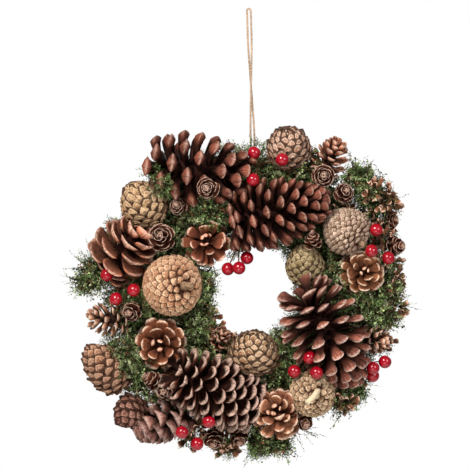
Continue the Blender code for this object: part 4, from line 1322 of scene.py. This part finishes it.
class WREATH_OT_twine(bpy.types.Operator):
    """Jute loop that the wreath hangs by, and its tie round the ring"""

    bl_idname = "wreath.twine"
    bl_label = "Twine"

    def execute(self, context):
        jute = tuple(context.scene.wreath_colours.jute)
        look = Look("jute_yarn", 0.9)
        grain = look.grain(500.0)
        look.bump(grain["Height"], 0.8, 0.0004)
        look.shader.inputs["Sheen Weight"].default_value = 0.3
        colour = look.mix(look.spread(grain["Blotch"], 0.3, 0.7), shade(jute, 0.6), shade(jute, 1.5))
        yarn = look.paint(colour)
        tree = yarn_tree()

        path = twine_path()
        loop = use_tree(line_object("hanging_twine", [path]), tree, {"Material": yarn})
        length = sum((second - first).length for first, second in zip(path, path[1:]))
        settle(loop, "jute", "twine_loop")
        tuple(path[0])
        [tuple(point) for point in path]

        profile = ring_profile(GROOVE_DEPTH - TWINE_RADIUS - GAP, TIE_ARCS)
        wrap = [section_place(radius, rise, TIE_X * MM) for radius, rise in reversed(profile)]
        wrap = [at(TIE_X, KNOT_Z, KNOT_RISE + 1.5), *wrap, at(TIE_X, KNOT_Z, KNOT_RISE - 1.5)]
        knot = []
        for step in range(KNOT_STEPS):
            angle = 2 * math.pi * step / KNOT_STEPS
            right = math.sin(angle) + 2 * math.sin(2 * angle)
            back = (math.cos(angle) - 2 * math.cos(2 * angle)) * 0.9
            up = -math.sin(3 * angle) * 1.1
            knot.append(at(TIE_X, KNOT_Z, KNOT_RISE) + Vector((right, back, up)) * MM)
        end = [at(TIE_X, KNOT_Z, KNOT_RISE + 1), at(TIE_X - 2, KNOT_Z + 1, KNOT_RISE + 5),
               at(TIE_X - 3, KNOT_Z - 2, KNOT_RISE + 8)]
        tie = use_tree(line_object("twine_tie_yarn", [wrap, knot, end]), tree, {"Material": yarn})
        settle(tie, "jute", "twine_tie")
        return {"FINISHED"}


class WREATH_OT_ring(bpy.types.Operator):
    """Straw base ring with loose straws and a winding of thread"""

    bl_idname = "wreath.ring"
    bl_label = "Straw ring"

    def execute(self, context):
        sizes = context.scene.wreath_sizes
        straw = tuple(context.scene.wreath_colours.straw)
        ring = self.body()
        green = tuple(context.scene.wreath_colours.moss_green)
        ring.data.materials.append(self.packed_straw(straw, green))
        settle(ring, "straw", "base_ring")
        strand = plain_look("loose_straw", shade(straw, 0.8), shade(straw, 1.5), 90.0, 0.6, 0.0003)
        thread = plain_look("binding_thread", (0.045, 0.060, 0.030), (0.07, 0.09, 0.045), 200.0, 0.5, 0.0002)
        tree = rods_tree()
        lines = self.straw_lines(sizes.straws)
        settle(rods(tree, "loose_straws", lines, sizes.straw_radius, 4, strand), "straw")
        settle(rods(tree, "thread_winding", self.thread_lines(), THREAD_RADIUS, 4, thread), "straw")
        return {"FINISHED"}

    def body(self):
        """The ring's closed skin, with the tie's groove across it at the top."""
        full = ring_profile(0.0)
        narrow = ring_profile(GROOVE_DEPTH)
        rows = []
        for offset, profile in ((GROOVE_HALF + GROOVE_SLOPE, full), (GROOVE_HALF, narrow),
                                (-GROOVE_HALF, narrow), (-GROOVE_HALF - GROOVE_SLOPE, full)):
            rows.append([section_place(radius, rise, TIE_X * MM + offset) for radius, rise in profile])
        for number in range(2, RING_STATIONS - 1):
            angle = math.radians(GROOVE_ANGLE + 360.0 / RING_STATIONS * number)
            rows.append([on_ring(radius, rise, angle) for radius, rise in full])
        verts = [vert for row in rows for vert in row]
        faces = []
        for number in range(len(rows)):
            faces += band(number * len(full), (number + 1) % len(rows) * len(full), len(full))
        front = [min(1.0, (BACK_Y - vert.y) / (RING_DEPTH * 0.3)) for vert in verts]
        return closed_mesh("straw_ring", verts, faces, front=front)

    def straw_lines(self, count):
        """Loose straws along the ring, none of them over the tie."""
        luck = random.Random(SEEDS["straws"])
        profile = ring_profile(0.0)
        lines = []
        for _ in range(count):
            spot = luck.randrange(len(profile))
            near, far = profile[spot], profile[(spot + 1) % len(profile)]
            share = luck.random()
            radius = blend(near[0], far[0], share)
            rise = max(STRAW_RISE, blend(near[1], far[1], share))
            start = luck.uniform(0, 360)
            sweep = luck.uniform(14, 40)
            drift = luck.uniform(-0.003, 0.003)
            line = []
            for step in range(STRAW_STEPS + 1):
                angle = math.radians(start + sweep * step / STRAW_STEPS)
                line.append(on_ring(radius + drift * (step / STRAW_STEPS - 0.5), rise, angle))
            if not crosses_tie(line):
                lines.append(line)
        return lines

    def thread_lines(self):
        """Thread wound round the ring's section, left out at the tie."""
        profile = ring_profile(-THREAD_LIFT, TIE_ARCS)
        lines = []
        for turn in range(THREAD_TURNS):
            line = []
            for step, (radius, rise) in enumerate(profile + profile[:1]):
                turned = turn + 0.5 + THREAD_SLANT * step / len(profile)
                angle = math.radians(GROOVE_ANGLE + 360.0 / THREAD_TURNS * turned)
                line.append(on_ring(radius, rise, angle))
            if not crosses_tie(line):
                lines.append(line)
        return lines

    def packed_straw(self, straw, green):
        """Straw in the ring, overgrown with moss toward the front."""
        look = Look("packed_straw", 0.85)
        grain = look.grain(120.0)
        dry = look.mix(look.spread(grain["Blotch"], 0.3, 0.7), shade(straw, 0.4), straw)
        growth = look.mix(look.spread(grain["Height"], 0.4, 0.65), shade(green, 0.12), shade(green, 0.9))
        front = look.math("ADD", look.marked("front"), grain["Blotch"])
        look.bump(grain["Height"], 0.8, 0.0015)
        return look.paint(look.mix(look.spread(front, 0.9, 1.3), dry, growth))


class WREATH_OT_dark_cones(bpy.types.Operator):
    """Open pine cones: three with long fingered scales, three with cupped ones"""

    bl_idname = "wreath.dark_cones"
    bl_label = "Dark cones"

    def execute(self, context):
        colours = context.scene.wreath_colours
        root = tuple(colours.root_shade)
        face = tuple(colours.dark_scale)
        rim = tuple(colours.pale_rim)
        tree = sites_tree()
        # The core between the scales is painted in the root's shade colours
        core = plain_look("cone_core", root, shade(root, 3), 300.0)
        finger = scale_shape("finger_scale", FINGER, 0.0, 0.60, 4)
        cup = scale_shape("cup_scale", CUP, 1.5, 0.74)
        head = scale_shape("head_scale", HEAD, 0.6, 0.56)
        dark_fingers = scale_look("dark_fingers", face, rim, root, 0.9, 0.6, (0.60, 0.98))
        red_fingers = scale_look("red_fingers", (0.33, 0.108, 0.070), (0.90, 0.66, 0.54), root,
                                 1.0, 0.6, (0.50, 0.98), (0.42, 0.92))
        for number, (name, spec) in enumerate(FINGER_CONES.items()):
            look = red_fingers if name == "big_cone_right" else dark_fingers
            build_cone(name, spec, "dark_cone", tree, (finger,), core, look, SEEDS["fingers"] + number)
        for number, (name, (kind, face, rim, *rest)) in enumerate(CUPPED_LOOKS.items()):
            look = scale_look(kind, face, rim, root, *rest)
            shapes = (head,) if name == "big_cone_bottom_left" else (cup,)
            spec = CUPPED_CONES[name]
            build_cone(name, spec, "dark_cone", tree, shapes, core, look, SEEDS["cups"] + number)
        for shape in (finger, cup, head):
            bpy.data.objects.remove(shape)
        return {"FINISHED"}


class WREATH_OT_rose_cones(bpy.types.Operator):
    """Smaller open cones seen mostly end on"""

    bl_idname = "wreath.rose_cones"
    bl_label = "Rose cones"

    def execute(self, context):
        root = tuple(context.scene.wreath_colours.root_shade)
        tree = sites_tree()
        # The core between the scales is painted in dark shade colours
        core = plain_look("rose_core", (0.012, 0.005, 0.003), (0.03, 0.012, 0.008), 300.0)
        cup = scale_shape("rose_scale", CUP, 1.0, 0.74)
        knob = scale_shape("heart_scale", KNOB, 0.0, 0.70)
        looks = {}
        for name, (kind, face, rim, dark, reach) in ROSE_LOOKS.items():
            looks[name] = scale_look(kind, face, rim, RED_ROOT_SHADE, 1.0, dark, reach, (0.66, 0.95))
        dull = scale_look("dull_tan_petals", (0.50, 0.235, 0.14), (0.98, 0.72, 0.55), root, 1.0, 0.3)
        ruddy = scale_look("red_brown_petals", (0.54, 0.195, 0.11), (0.94, 0.64, 0.49), root, 1.0, 0.3)
        looks.update(rose_cone_far_left=dull, rose_cone_far_right=dull)
        looks.update(rose_cone_top_right=ruddy, rose_cone_inner=ruddy)
        for name, spec in ROSE_CONES.items():
            build_cone(name, spec, "rose_cone", tree, (cup, knob), core, looks[name], SEEDS["roses"])
        bpy.data.objects.remove(cup)
        bpy.data.objects.remove(knob)
        return {"FINISHED"}


class WREATH_OT_rosettes(bpy.types.Operator):
    """Small larch rosettes with thin pale-edged scales"""

    bl_idname = "wreath.rosettes"
    bl_label = "Rosettes"

    def execute(self, context):
        tree = sites_tree()
        # The core between the scales is painted in dark shade colours
        core = plain_look("rosette_core", (0.012, 0.006, 0.004), (0.03, 0.016, 0.010), 400.0)
        petal = scale_shape("rosette_petal", PETAL, 4.2, 0.74)
        # The third colour is painted shade at the petals' roots
        look = scale_look("larch_petals", (0.19, 0.052, 0.026), (0.98, 0.70, 0.53), (0.010, 0.004, 0.002),
                          1.0, 0.6, (0.1, 0.9), (0.6, 0.95))
        for number, (name, spec) in enumerate(ROSETTES.items()):
            build_cone(name, spec, "larch", tree, (petal,), core, look, SEEDS["rosettes"] + number)
        bpy.data.objects.remove(petal)
        return {"FINISHED"}


class WREATH_OT_closed_cones(bpy.types.Operator):
    """Shut tan cones with overlapping scales and a broken stem"""

    bl_idname = "wreath.closed_cones"
    bl_label = "Shut cones"

    def execute(self, context):
        tan = tuple(context.scene.wreath_colours.tan_scale)
        # Painted shade colour for the furrows between the pads
        dark = (0.035, 0.012, 0.006)
        # name: material, face, pale tone (on the front edge also a painted highlight), painted shade of the
        # furrows
        looks = {
            "closed_cone_top_left": ("yellow_tan_scales", (0.62, 0.36, 0.175), (0.86, 0.60, 0.36), dark),
            "closed_cone_top": ("pink_tan_scales", (0.66, 0.33, 0.205), (0.98, 0.65, 0.48), dark),
            "closed_cone_left": (
                "orange_tan_scales", (0.80, 0.36, 0.18), (1.0, 0.66, 0.42), (0.10, 0.032, 0.013)),
            "closed_cone_right": (
                "grey_tan_scales", (0.54, 0.33, 0.205), (0.98, 0.71, 0.54), (0.07, 0.028, 0.013)),
            "closed_cone_bottom_right": ("pale_tan_scales", tan, (1.0, 0.70, 0.46), (0.03, 0.010, 0.004)),
            "closed_cone_inner": ("domed_tan_scales", (0.54, 0.27, 0.135), (0.98, 0.67, 0.43), dark),
            "closed_cone_far_left": ("red_tan_scales", (0.44, 0.20, 0.11), (0.76, 0.46, 0.30), dark),
            "closed_cone_inner_right": ("olive_tan_scales", (0.34, 0.25, 0.11), (0.62, 0.48, 0.27), dark),
            "closed_cone_bottom_left": ("brown_tan_scales", (0.25, 0.095, 0.062), (0.50, 0.27, 0.20), dark),
        }
        tree = sites_tree()
        # The core between the pads is painted in shade colours
        furrow = plain_look("furrow", (0.030, 0.010, 0.005), (0.07, 0.028, 0.014), 300.0)
        pad = pad_shape("shut_scale", 0.60)
        for number, (name, tones) in enumerate(looks.items()):
            verts, faces, sites, base, axis = closed_cone(name)
            piece = with_sites("fine_" + name, verts, faces, sites)
            piece = use_tree(piece, tree, {
                "Shape": pad, "Wander": PAD_STYLES[name][2], "Seed": SEEDS["shut_cones"] + number,
                "Core material": furrow, "Material": pad_look(*tones)})
            settle(piece, "tan_cone", name)
            stem = self.stem(name, base, axis, context.scene.wreath_sizes.stem_thickness)
            settle(stem, "tan_cone")
        bpy.data.objects.remove(pad)
        return {"FINISHED"}

    def stem(self, name, base, axis, thickness):
        """A broken stem, ragged at its end; one is long and bent."""
        luck = random.Random(name + "stem")
        foot = base - axis * (0.10 * CLOSED_CONES[name][5] * MM)
        half = thickness / 2 * (1.45 if name == BARE_CONE else 1.0)
        steps = [(foot + axis * 0.004, half * 1.5, -axis), (foot, half * 1.35, -axis)]
        if name == LONG_STEM:
            way = Vector(LONG_WAY).normalized()
            bend = (way - axis).normalized()
            knee = foot + bend * 0.0055
            steps.append((knee, half * 1.4, bend))
            for step in range(1, 6):
                sway = Vector((0, 0, 0.0005 * math.sin(step * 2.1)))
                steps.append((knee + way * (0.004 * step) + sway, half * (1.38 - 0.05 * step), way))
        else:
            way = -axis
            pace = BARE_STEP if name == BARE_CONE else STUB_STEP
            for step in range(1, 4):
                steps.append((foot + way * (pace * step), half * (1.2 - 0.08 * step), way))
        steps.append((steps[-1][0] - way * 0.0012, half * 0.5, way))
        first, second = across(axis)
        verts = []
        faces = [tuple(range(STEM_SIDES))]
        for number, (centre, size, square) in enumerate(steps):
            turn = axis.rotation_difference(-square)
            for side in range(STEM_SIDES):
                angle = 2 * math.pi * side / STEM_SIDES
                rough = 1 + 0.12 * math.sin(3 * angle + number) + 0.07 * math.sin(7 * angle)
                away = turn @ around(first, second, angle)
                ragged = luck.uniform(-0.0026, 0.0016) if number == len(steps) - 2 else 0.0
                verts.append(centre + away * (size * rough) + way * ragged)
        for number in range(len(steps) - 1):
            faces += band(number * STEM_SIDES, (number + 1) * STEM_SIDES, STEM_SIDES)
        faces.append(tuple(len(verts) - STEM_SIDES + side for side in reversed(range(STEM_SIDES))))
        made = closed_mesh("stem_" + name, verts, faces)
        kind, *tones = PEELED_WOOD if name == LONG_STEM else STEM_BARK
        made.data.materials.append(bpy.data.materials.get(kind) or plain_look(kind, *tones, 700.0))
        return made


class WREATH_OT_berries(bpy.types.Operator):
    """Glossy red berries on wires"""

    bl_idname = "wreath.berries"
    bl_label = "Berries"

    def execute(self, context):
        sizes = context.scene.wreath_sizes
        skin = self.skin(tuple(context.scene.wreath_colours.berry_red))
        wire = plain_look("berry_wire", (0.10, 0.035, 0.020), (0.16, 0.07, 0.04), 300.0, 0.6, 0.0002)
        tree = rods_tree()
        ring = search_tree(["base_ring"])
        rows = [step / BERRY_STEPS for step in range(1, BERRY_STEPS) for _ in range(BERRY_SIDES)]
        for name, (*places, knot) in BERRIES.items():
            meet = at(*knot)
            near, _, _, _ = ring.find_nearest(meet)
            lines = [[meet, near]]
            verts = []
            faces = []
            for place in places:
                centre = at(*place)
                away = (centre - meet).normalized()
                bend = away.orthogonal().normalized() * 0.0012
                lines.append([meet, *(blend(meet, centre, share) + bend for share in (0.35, 0.7)), centre])
                add_part(verts, faces, *self.berry(centre, away, sizes.berry_radius))
            berries = closed_mesh("fine_" + name, verts, faces, along=[0.0, *rows, 1.0] * len(places))
            berries.data.materials.append(skin)
            settle(berries, "berry", name)
            settle(rods(tree, "wires_of_" + name, lines, sizes.wire_radius, 6, wire), "berry")
        return {"FINISHED"}

    def skin(self, red):
        """Glossy red skin, dark in the dent where the wire goes in."""
        look = Look("berry_skin", 0.10, 0.5)
        grain = look.grain(120.0)
        colour = look.mix(look.spread(grain["Blotch"], 0.3, 0.7), shade(red, 0.72), red)
        colour = look.mix(look.spread(look.marked("along"), 0.10, 0.02), colour, (0.05, 0.012, 0.008))
        look.shader.inputs["Coat Weight"].default_value = 0.15
        look.shader.inputs["Coat Roughness"].default_value = 0.05
        return look.paint(colour, look.spread(grain["Height"], 0.3, 0.7, 0.14, 0.24))

    def berry(self, centre, away, radius):
        """One berry, dented on the side of its wire."""
        first, second = across(away)

        def place(share, angle, out):
            return centre + away * share + around(first, second, angle) * out

        profile = []
        for step in range(BERRY_STEPS + 1):
            angle = math.pi * step / BERRY_STEPS
            dent = 0.10 * math.exp(-(angle / 0.22) ** 2)
            profile.append((-math.cos(angle) * radius * (1 - dent), math.sin(angle) * radius))
        return lathe(place, profile, BERRY_SIDES)


def frond_shape(name, leaves, luck):
    """One frond of moss of length 1: a tapering stem with small closed leaflets."""
    verts = []
    faces = []
    along = []
    bend = luck.uniform(0.12, 0.3)

    def spine(share):
        return Vector((share, 0.0, bend * share * share))

    for share, radius in ((0.0, 0.035), (0.5, 0.024)):
        for step in range(3):
            angle = 2 * math.pi * step / 3
            verts.append(spine(share) + Vector((0, math.cos(angle), math.sin(angle))) * radius)
            along.append(share)
    verts.append(spine(1.0))
    along.append(1.0)
    faces.append((2, 1, 0))
    for step in range(3):
        beside = (step + 1) % 3
        faces.append((step, beside, 3 + beside, 3 + step))
        faces.append((3 + step, 3 + beside, 6))
    for number in range(leaves):
        share = 0.14 + 0.78 * number / (leaves - 1)
        angle = number * GOLDEN
        out = Vector((0.55 + luck.uniform(-0.15, 0.3), math.cos(angle), math.sin(angle) * 0.8)).normalized()
        side = Vector((1, 0, 0)).cross(out).normalized()
        root = spine(share)
        long = luck.uniform(0.26, 0.42) * (1.0 - 0.4 * share)
        leaf = [root, root + out * long, root + out * (long * 0.5) + side * 0.085,
                root + out * (long * 0.45) - side * 0.06 + Vector((0.04, 0, 0.03))]
        add_part(verts, faces, leaf, [(0, 2, 1), (0, 1, 3), (0, 3, 2), (1, 2, 3)])
        along += [share, share + 0.35, share + 0.2, share + 0.2]
    return closed_mesh(name, verts, faces, False, along=[min(1.0, value) for value in along])


def moss_tree():
    """Fronds of moss over a tuft's own surface."""
    tree = Tree("Moss on a tuft", (
        ("Fronds", "Collection", None),
        ("Density", "Float", 100000.0),
        ("Length", "Float", 0.009),
        ("Spread", "Float", 0.9),
        ("Seed", "Int", 1),
        ("Core material", "Material", None),
        ("Material", "Material", None),
    ))
    start = tree.start
    parts = tree.node("GeometryNodeSeparateGeometry", {
        "Geometry": start["Geometry"], "Selection": tree.named("seeded", "BOOLEAN")}, domain="FACE").outputs
    spots = tree.node("GeometryNodeDistributePointsOnFaces", {
        "Mesh": parts["Selection"], "Density": start["Density"], "Seed": start["Seed"]}).outputs
    stray = tree.any_way()
    turn = tree.facing(tree.led(spots["Normal"], stray, "Spread"), stray)
    chance = tree.chance("FLOAT", 0.0, 1.0)
    rare = tree.math("POWER", chance, 14.0)
    long = tree.math("MULTIPLY_ADD", chance, 0.55, 0.62)
    size = tree.math("MULTIPLY", tree.math("MULTIPLY_ADD", rare, 1.0, long), start["Length"])
    kinds = tree.node("GeometryNodeCollectionInfo", {
        "Collection": start["Fronds"], "Separate Children": True, "Reset Children": True})
    stood = tree.node("GeometryNodeInstanceOnPoints", {
        "Points": spots["Points"], "Instance": kinds.outputs["Instances"], "Pick Instance": True,
        "Instance Index": tree.chance("INT", 0, 2), "Rotation": turn, "Scale": size})
    index = tree.node("GeometryNodeInputIndex").outputs["Index"]
    tinted = tree.node("GeometryNodeStoreNamedAttribute", {
        "Geometry": stood.outputs["Instances"], "Name": "tint",
        "Value": tree.chance("FLOAT", 0.0, 1.0, ID=index)}, data_type="FLOAT", domain="INSTANCE")
    return tree.finish(tinted.outputs["Geometry"], parts["Inverted"])


def moss_look(green):
    """Moss fronds: painted shade toward the stem and in hollows, yellow-green and pale tips that are partly
    painted highlight, a few brown ones.
    """
    look = Look("moss_fronds", 0.7)
    tint = look.marked("tint")
    along = look.marked("along")
    patch = look.noise(42.0, 2.0)
    # Painted shade toward each frond's stem and in the hollows of the moss
    deep = (0.012, 0.009, 0.003)
    # Yellow-green tips, partly real colour and partly painted highlight
    bright = (green[0] * 4.8, green[1] * 3.7, green[2] * 5.2)
    colour = look.mix(look.spread(along, 0.05, 0.8), deep, green)
    lit = look.times(look.spread(tint, 0.25, 0.8), look.spread(patch, 0.36, 0.56, 0.25, 1.0))
    colour = look.mix(look.times(lit, look.spread(along, 0.2, 0.9)), colour, bright)
    # Pale tips, partly real colour and partly painted highlight
    pale = look.times(look.spread(tint, 0.78, 0.90), look.spread(along, 0.2, 0.7, 0.0, 0.9))
    colour = look.mix(pale, colour, (0.50, 0.50, 0.32))
    colour = look.mix(look.spread(tint, 0.20, 0.10, 0.0, 0.85), colour, (0.15, 0.085, 0.035))
    chip = look.mix(look.spread(look.marked("rim"), 0.30, 0.85), (0.21, 0.072, 0.037), (0.72, 0.47, 0.34))
    colour = look.mix(look.times(look.spread(tint, 0.06, 0.05), look.spread(along, 0.2, 0.8)), colour, chip)
    # Painted shade in the hollows of the moss
    shaded_hollow = look.spread(look.noise(110.0, 1.0), 0.52, 0.40, 0.0, 0.8)
    return look.paint(look.mix(shaded_hollow, colour, deep))


def any_way(luck):
    """A random vector inside a cube of half width 1."""
    return Vector([luck.uniform(-1, 1) for _ in range(3)])


class WREATH_OT_moss(bpy.types.Operator):
    """Tufts of moss, and moss on the ring between the cones"""

    bl_idname = "wreath.moss"
    bl_label = "Moss"

    def execute(self, context):
        sizes = context.scene.wreath_sizes
        length = sizes.frond_length
        green = tuple(context.scene.wreath_colours.moss_green)
        look = moss_look(green)
        core = plain_look("moss_shade", (0.012, 0.008, 0.003), shade(green, 0.35), 300.0, 0.9, 0.001)
        luck = random.Random(SEEDS["fronds"])
        kinds = bpy.data.collections.new("frond_kinds")
        context.scene.collection.children.link(kinds)
        fronds = []
        for number, leaves in enumerate(FROND_LEAVES):
            frond = frond_shape("frond_%d" % number, leaves, luck)
            context.scene.collection.objects.unlink(frond)
            kinds.objects.link(frond)
            fronds.append(frond)

        thin = 1.0
        tree = moss_tree()
        for number, (name, (start, end)) in enumerate(MOSS.items()):
            piece = self.tuft_shells("fine_" + name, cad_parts[name].data, at(*start), at(*end))
            piece = use_tree(piece, tree, {
                "Fronds": kinds, "Density": sizes.frond_density * thin, "Length": length, "Spread": 0.9,
                "Seed": SEEDS["tufts"] + number, "Core material": core, "Material": look})
            settle(piece, "moss", name)

        solids = neighbours("base_ring", "twine_loop", "twine_tie")
        gaps = self.gap_sites(solids, int(sizes.gap_fronds * thin), length)
        heaps = self.clump_sites(solids, thin, length) + self.wisp_sites(length)
        groups = {
            "left_gap_moss": ([], [], [site for site in gaps if site[0].x < RING_X]),
            "right_gap_moss": ([], [], [site for site in gaps if site[0].x >= RING_X]),
            "heaped_moss": (*self.clump_bodies(solids), heaps),
        }
        grown = sites_tree()
        flake = scale_shape("brown_flake", PETAL, 3.0, 0.74)
        for label, (verts, faces, sites) in groups.items():
            piece = use_tree(with_sites(label, verts, faces, sites), grown, {
                "Shape": fronds[1], "Second shape": flake, "Wander": 0.2, "Seed": SEEDS["loose_moss"],
                "Core material": core, "Material": look})
            settle(piece, "moss")
        for shape in (flake, *fronds):
            bpy.data.objects.remove(shape)
        bpy.data.collections.remove(kinds)
        return {"FINISHED"}

    def tuft_shells(self, name, mesh, low, high):
        """A tuft's spiky skin drawn in twice: a shell that fronds grow on, and a dark body of painted shade
        inside it.
        """
        span = high - low
        verts = []
        faces = []
        for keep in TUFT_SKINS:
            drawn = []
            for vert in mesh.vertices:
                share = max(0.0, min(1.0, (vert.co - low).dot(span) / span.length_squared))
                drawn.append(blend(low + span * share, vert.co, keep))
            add_part(verts, faces, drawn, [face.vertices for face in mesh.polygons])
        made = mesh_object(name, verts, faces, False)
        half = len(mesh.polygons)
        seeded = made.data.attributes.new("seeded", "BOOLEAN", "FACE")
        seeded.data.foreach_set("value", [True] * half + [False] * half)
        mark(made.data, "tint", [0.3] * len(verts))
        return made

    def clump_bodies(self, solids):
        """A dark lump of painted shade inside each heap, as far as the cones round it leave room."""
        verts = []
        faces = []
        steps = [math.pi * step / BODY_STEPS for step in range(BODY_STEPS + 1)]
        profile = [(math.cos(angle), math.sin(angle)) for angle in steps]
        for right, up, rise, wide, _ in CLUMPS:
            centre = at(right, up, rise)

            def lump(share, angle, out, centre=centre, wide=wide):
                way = Vector((out * math.cos(angle), share, out * math.sin(angle))).normalized()
                reach = wide * MM * BODY_SHARE * (0.8 + 0.4 * noise.noise(way * 2.3 + centre * 90))
                return centre + way * max(0.0008, min(reach, room_along(solids, centre, way, reach) - 0.001))

            add_part(verts, faces, *lathe(lump, profile, BODY_SIDES))
        return verts, faces

    def wisp_sites(self, length):
        """Long thin fronds that stray out past the rim."""
        luck = random.Random(SEEDS["wisps"])
        sites = []
        for right, up, rise, heading, count in WISPS:
            for _ in range(count):
                way = pointing(heading + luck.uniform(-42, 42), luck.uniform(-25, 35))
                place = at(right + luck.uniform(-7, 7), up + luck.uniform(-7, 7), rise + luck.uniform(-5, 5))
                over = any_way(luck)
                long = length * luck.uniform(1.2, 2.6)
                sites.append((place, way, over, (long, length * 0.8, length * 0.8), luck.random()))
        return sites

    def clump_sites(self, solids, thin, length):
        """Fronds heaped where the gaps between the cones are deep."""
        luck = random.Random(SEEDS["heaps"])
        sites = []
        for clump in CLUMPS + BROWN_CLUMPS:
            right, up, rise, wide, fronds = clump
            centre = at(right, up, rise)
            flakes = FLAKE_SHARE if right > FLAKES_RIGHT or up < FLAKES_LOW else 0.0
            if clump in BROWN_CLUMPS:
                flakes = BROWN_SHARE
            for _ in range(int(fronds * thin)):
                way = Vector([luck.gauss(0, 1) for _ in range(3)]).normalized()
                if way.y > 0.3:
                    way.y = -way.y
                reach = wide * MM * luck.uniform(0.35, 1.0)
                free = room_along(solids, centre, way, reach)
                if free < 0.001:
                    continue
                place = centre + way * min(reach, free)
                stray = any_way(luck)
                over = any_way(luck)
                size = length * luck.uniform(0.6, 1.2)
                aim = (way + stray * 0.9).normalized()
                if luck.random() < flakes:
                    flake = (size * 1.1, size * 0.72, FLAKE_THICKNESS)
                    sites.append((place, aim, over, flake, 0.05 * luck.random(), True))
                else:
                    sites.append((place, aim, over, (size, size, size), luck.random()))
        return sites

    def gap_sites(self, solids, count, length):
        """Places between the cones where moss stands on the ring."""
        luck = random.Random(SEEDS["gaps"])
        front = Vector((0, -1, 0))
        profile = ring_profile(0.0)[1:-1]
        sites = []
        tries = 0
        while len(sites) < count and tries < count * 30:
            tries += 1
            spot = luck.uniform(0, len(profile) - 1.001)
            number = int(spot)
            near, far = profile[number], profile[number + 1]
            radius = blend(near[0], far[0], spot - number)
            rise = blend(near[1], far[1], spot - number)
            if luck.random() > radius / (RING_RADIUS + RING_HALF_WIDTH):
                continue
            turn = luck.uniform(0, 2 * math.pi)
            out = Vector((math.cos(turn), 0, math.sin(turn)))
            surface = Vector((RING_X, BACK_Y - rise, RING_Z)) + out * radius
            slope = Vector((far[0] - near[0], far[1] - near[1])).normalized()
            normal = (out * -slope.y + front * slope.x).normalized()
            room = room_along(solids, surface, normal, MOUND_REACH)
            if room < LEAST_ROOM:
                continue
            mound = 0.5 + 0.5 * noise.noise(surface * 55)
            side = 0.75 if out.dot(normal) > 0 else 0.4
            deep = min(room, (0.005 + 0.022 * mound) * blend(side, 1.0, max(0.0, -normal.y)))
            place = surface + normal * (deep * luck.random() ** 0.7)
            seen = (front, normal, (normal + front).normalized())
            if all(room_along(solids, place, way, SIGHT_REACH) < SIGHT_REACH for way in seen):
                continue
            aim = (normal * 0.7 + any_way(luck)).normalized()
            over = any_way(luck)
            size = min(length * luck.uniform(0.6, 1.25), 0.004 + room)
            sites.append((place, aim, over, (size, size, size), luck.random()))
        return sites


class WREATH_PT_panel(bpy.types.Panel):
    """Builds the wreath piece by piece"""

    bl_idname = "WREATH_PT_panel"
    bl_label = "Christmas wreath"
    bl_space_type = "VIEW_3D"
    bl_region_type = "UI"
    bl_category = "Wreath"

    def draw(self, context):
        column = self.layout.column()
        for step in STEPS:
            column.operator(step.bl_idname)
        for group in (context.scene.wreath_sizes, context.scene.wreath_colours):
            for label in group.bl_rna.properties.keys():
                if label not in ("rna_type", "name"):
                    column.prop(group, label)


STEPS = (WREATH_OT_stage, WREATH_OT_twine, WREATH_OT_ring, WREATH_OT_dark_cones, WREATH_OT_rose_cones,
         WREATH_OT_rosettes, WREATH_OT_closed_cones, WREATH_OT_berries, WREATH_OT_moss)
CLASSES = (WreathSizes, WreathColours, *STEPS, WREATH_PT_panel)


def register():
    for item in CLASSES:
        bpy.utils.register_class(item)
    bpy.types.Scene.wreath_sizes = bpy.props.PointerProperty(type=WreathSizes)
    bpy.types.Scene.wreath_colours = bpy.props.PointerProperty(type=WreathColours)


def unregister():
    del bpy.types.Scene.wreath_colours
    del bpy.types.Scene.wreath_sizes
    for item in reversed(CLASSES):
        bpy.utils.unregister_class(item)


def main():
    register()
    bpy.ops.wreath.stage()
    bpy.ops.wreath.twine()
    bpy.ops.wreath.ring()
    bpy.ops.wreath.dark_cones()
    bpy.ops.wreath.rose_cones()
    bpy.ops.wreath.rosettes()
    bpy.ops.wreath.closed_cones()
    bpy.ops.wreath.berries()
    bpy.ops.wreath.moss()


if __name__ == "__main__":
    main()
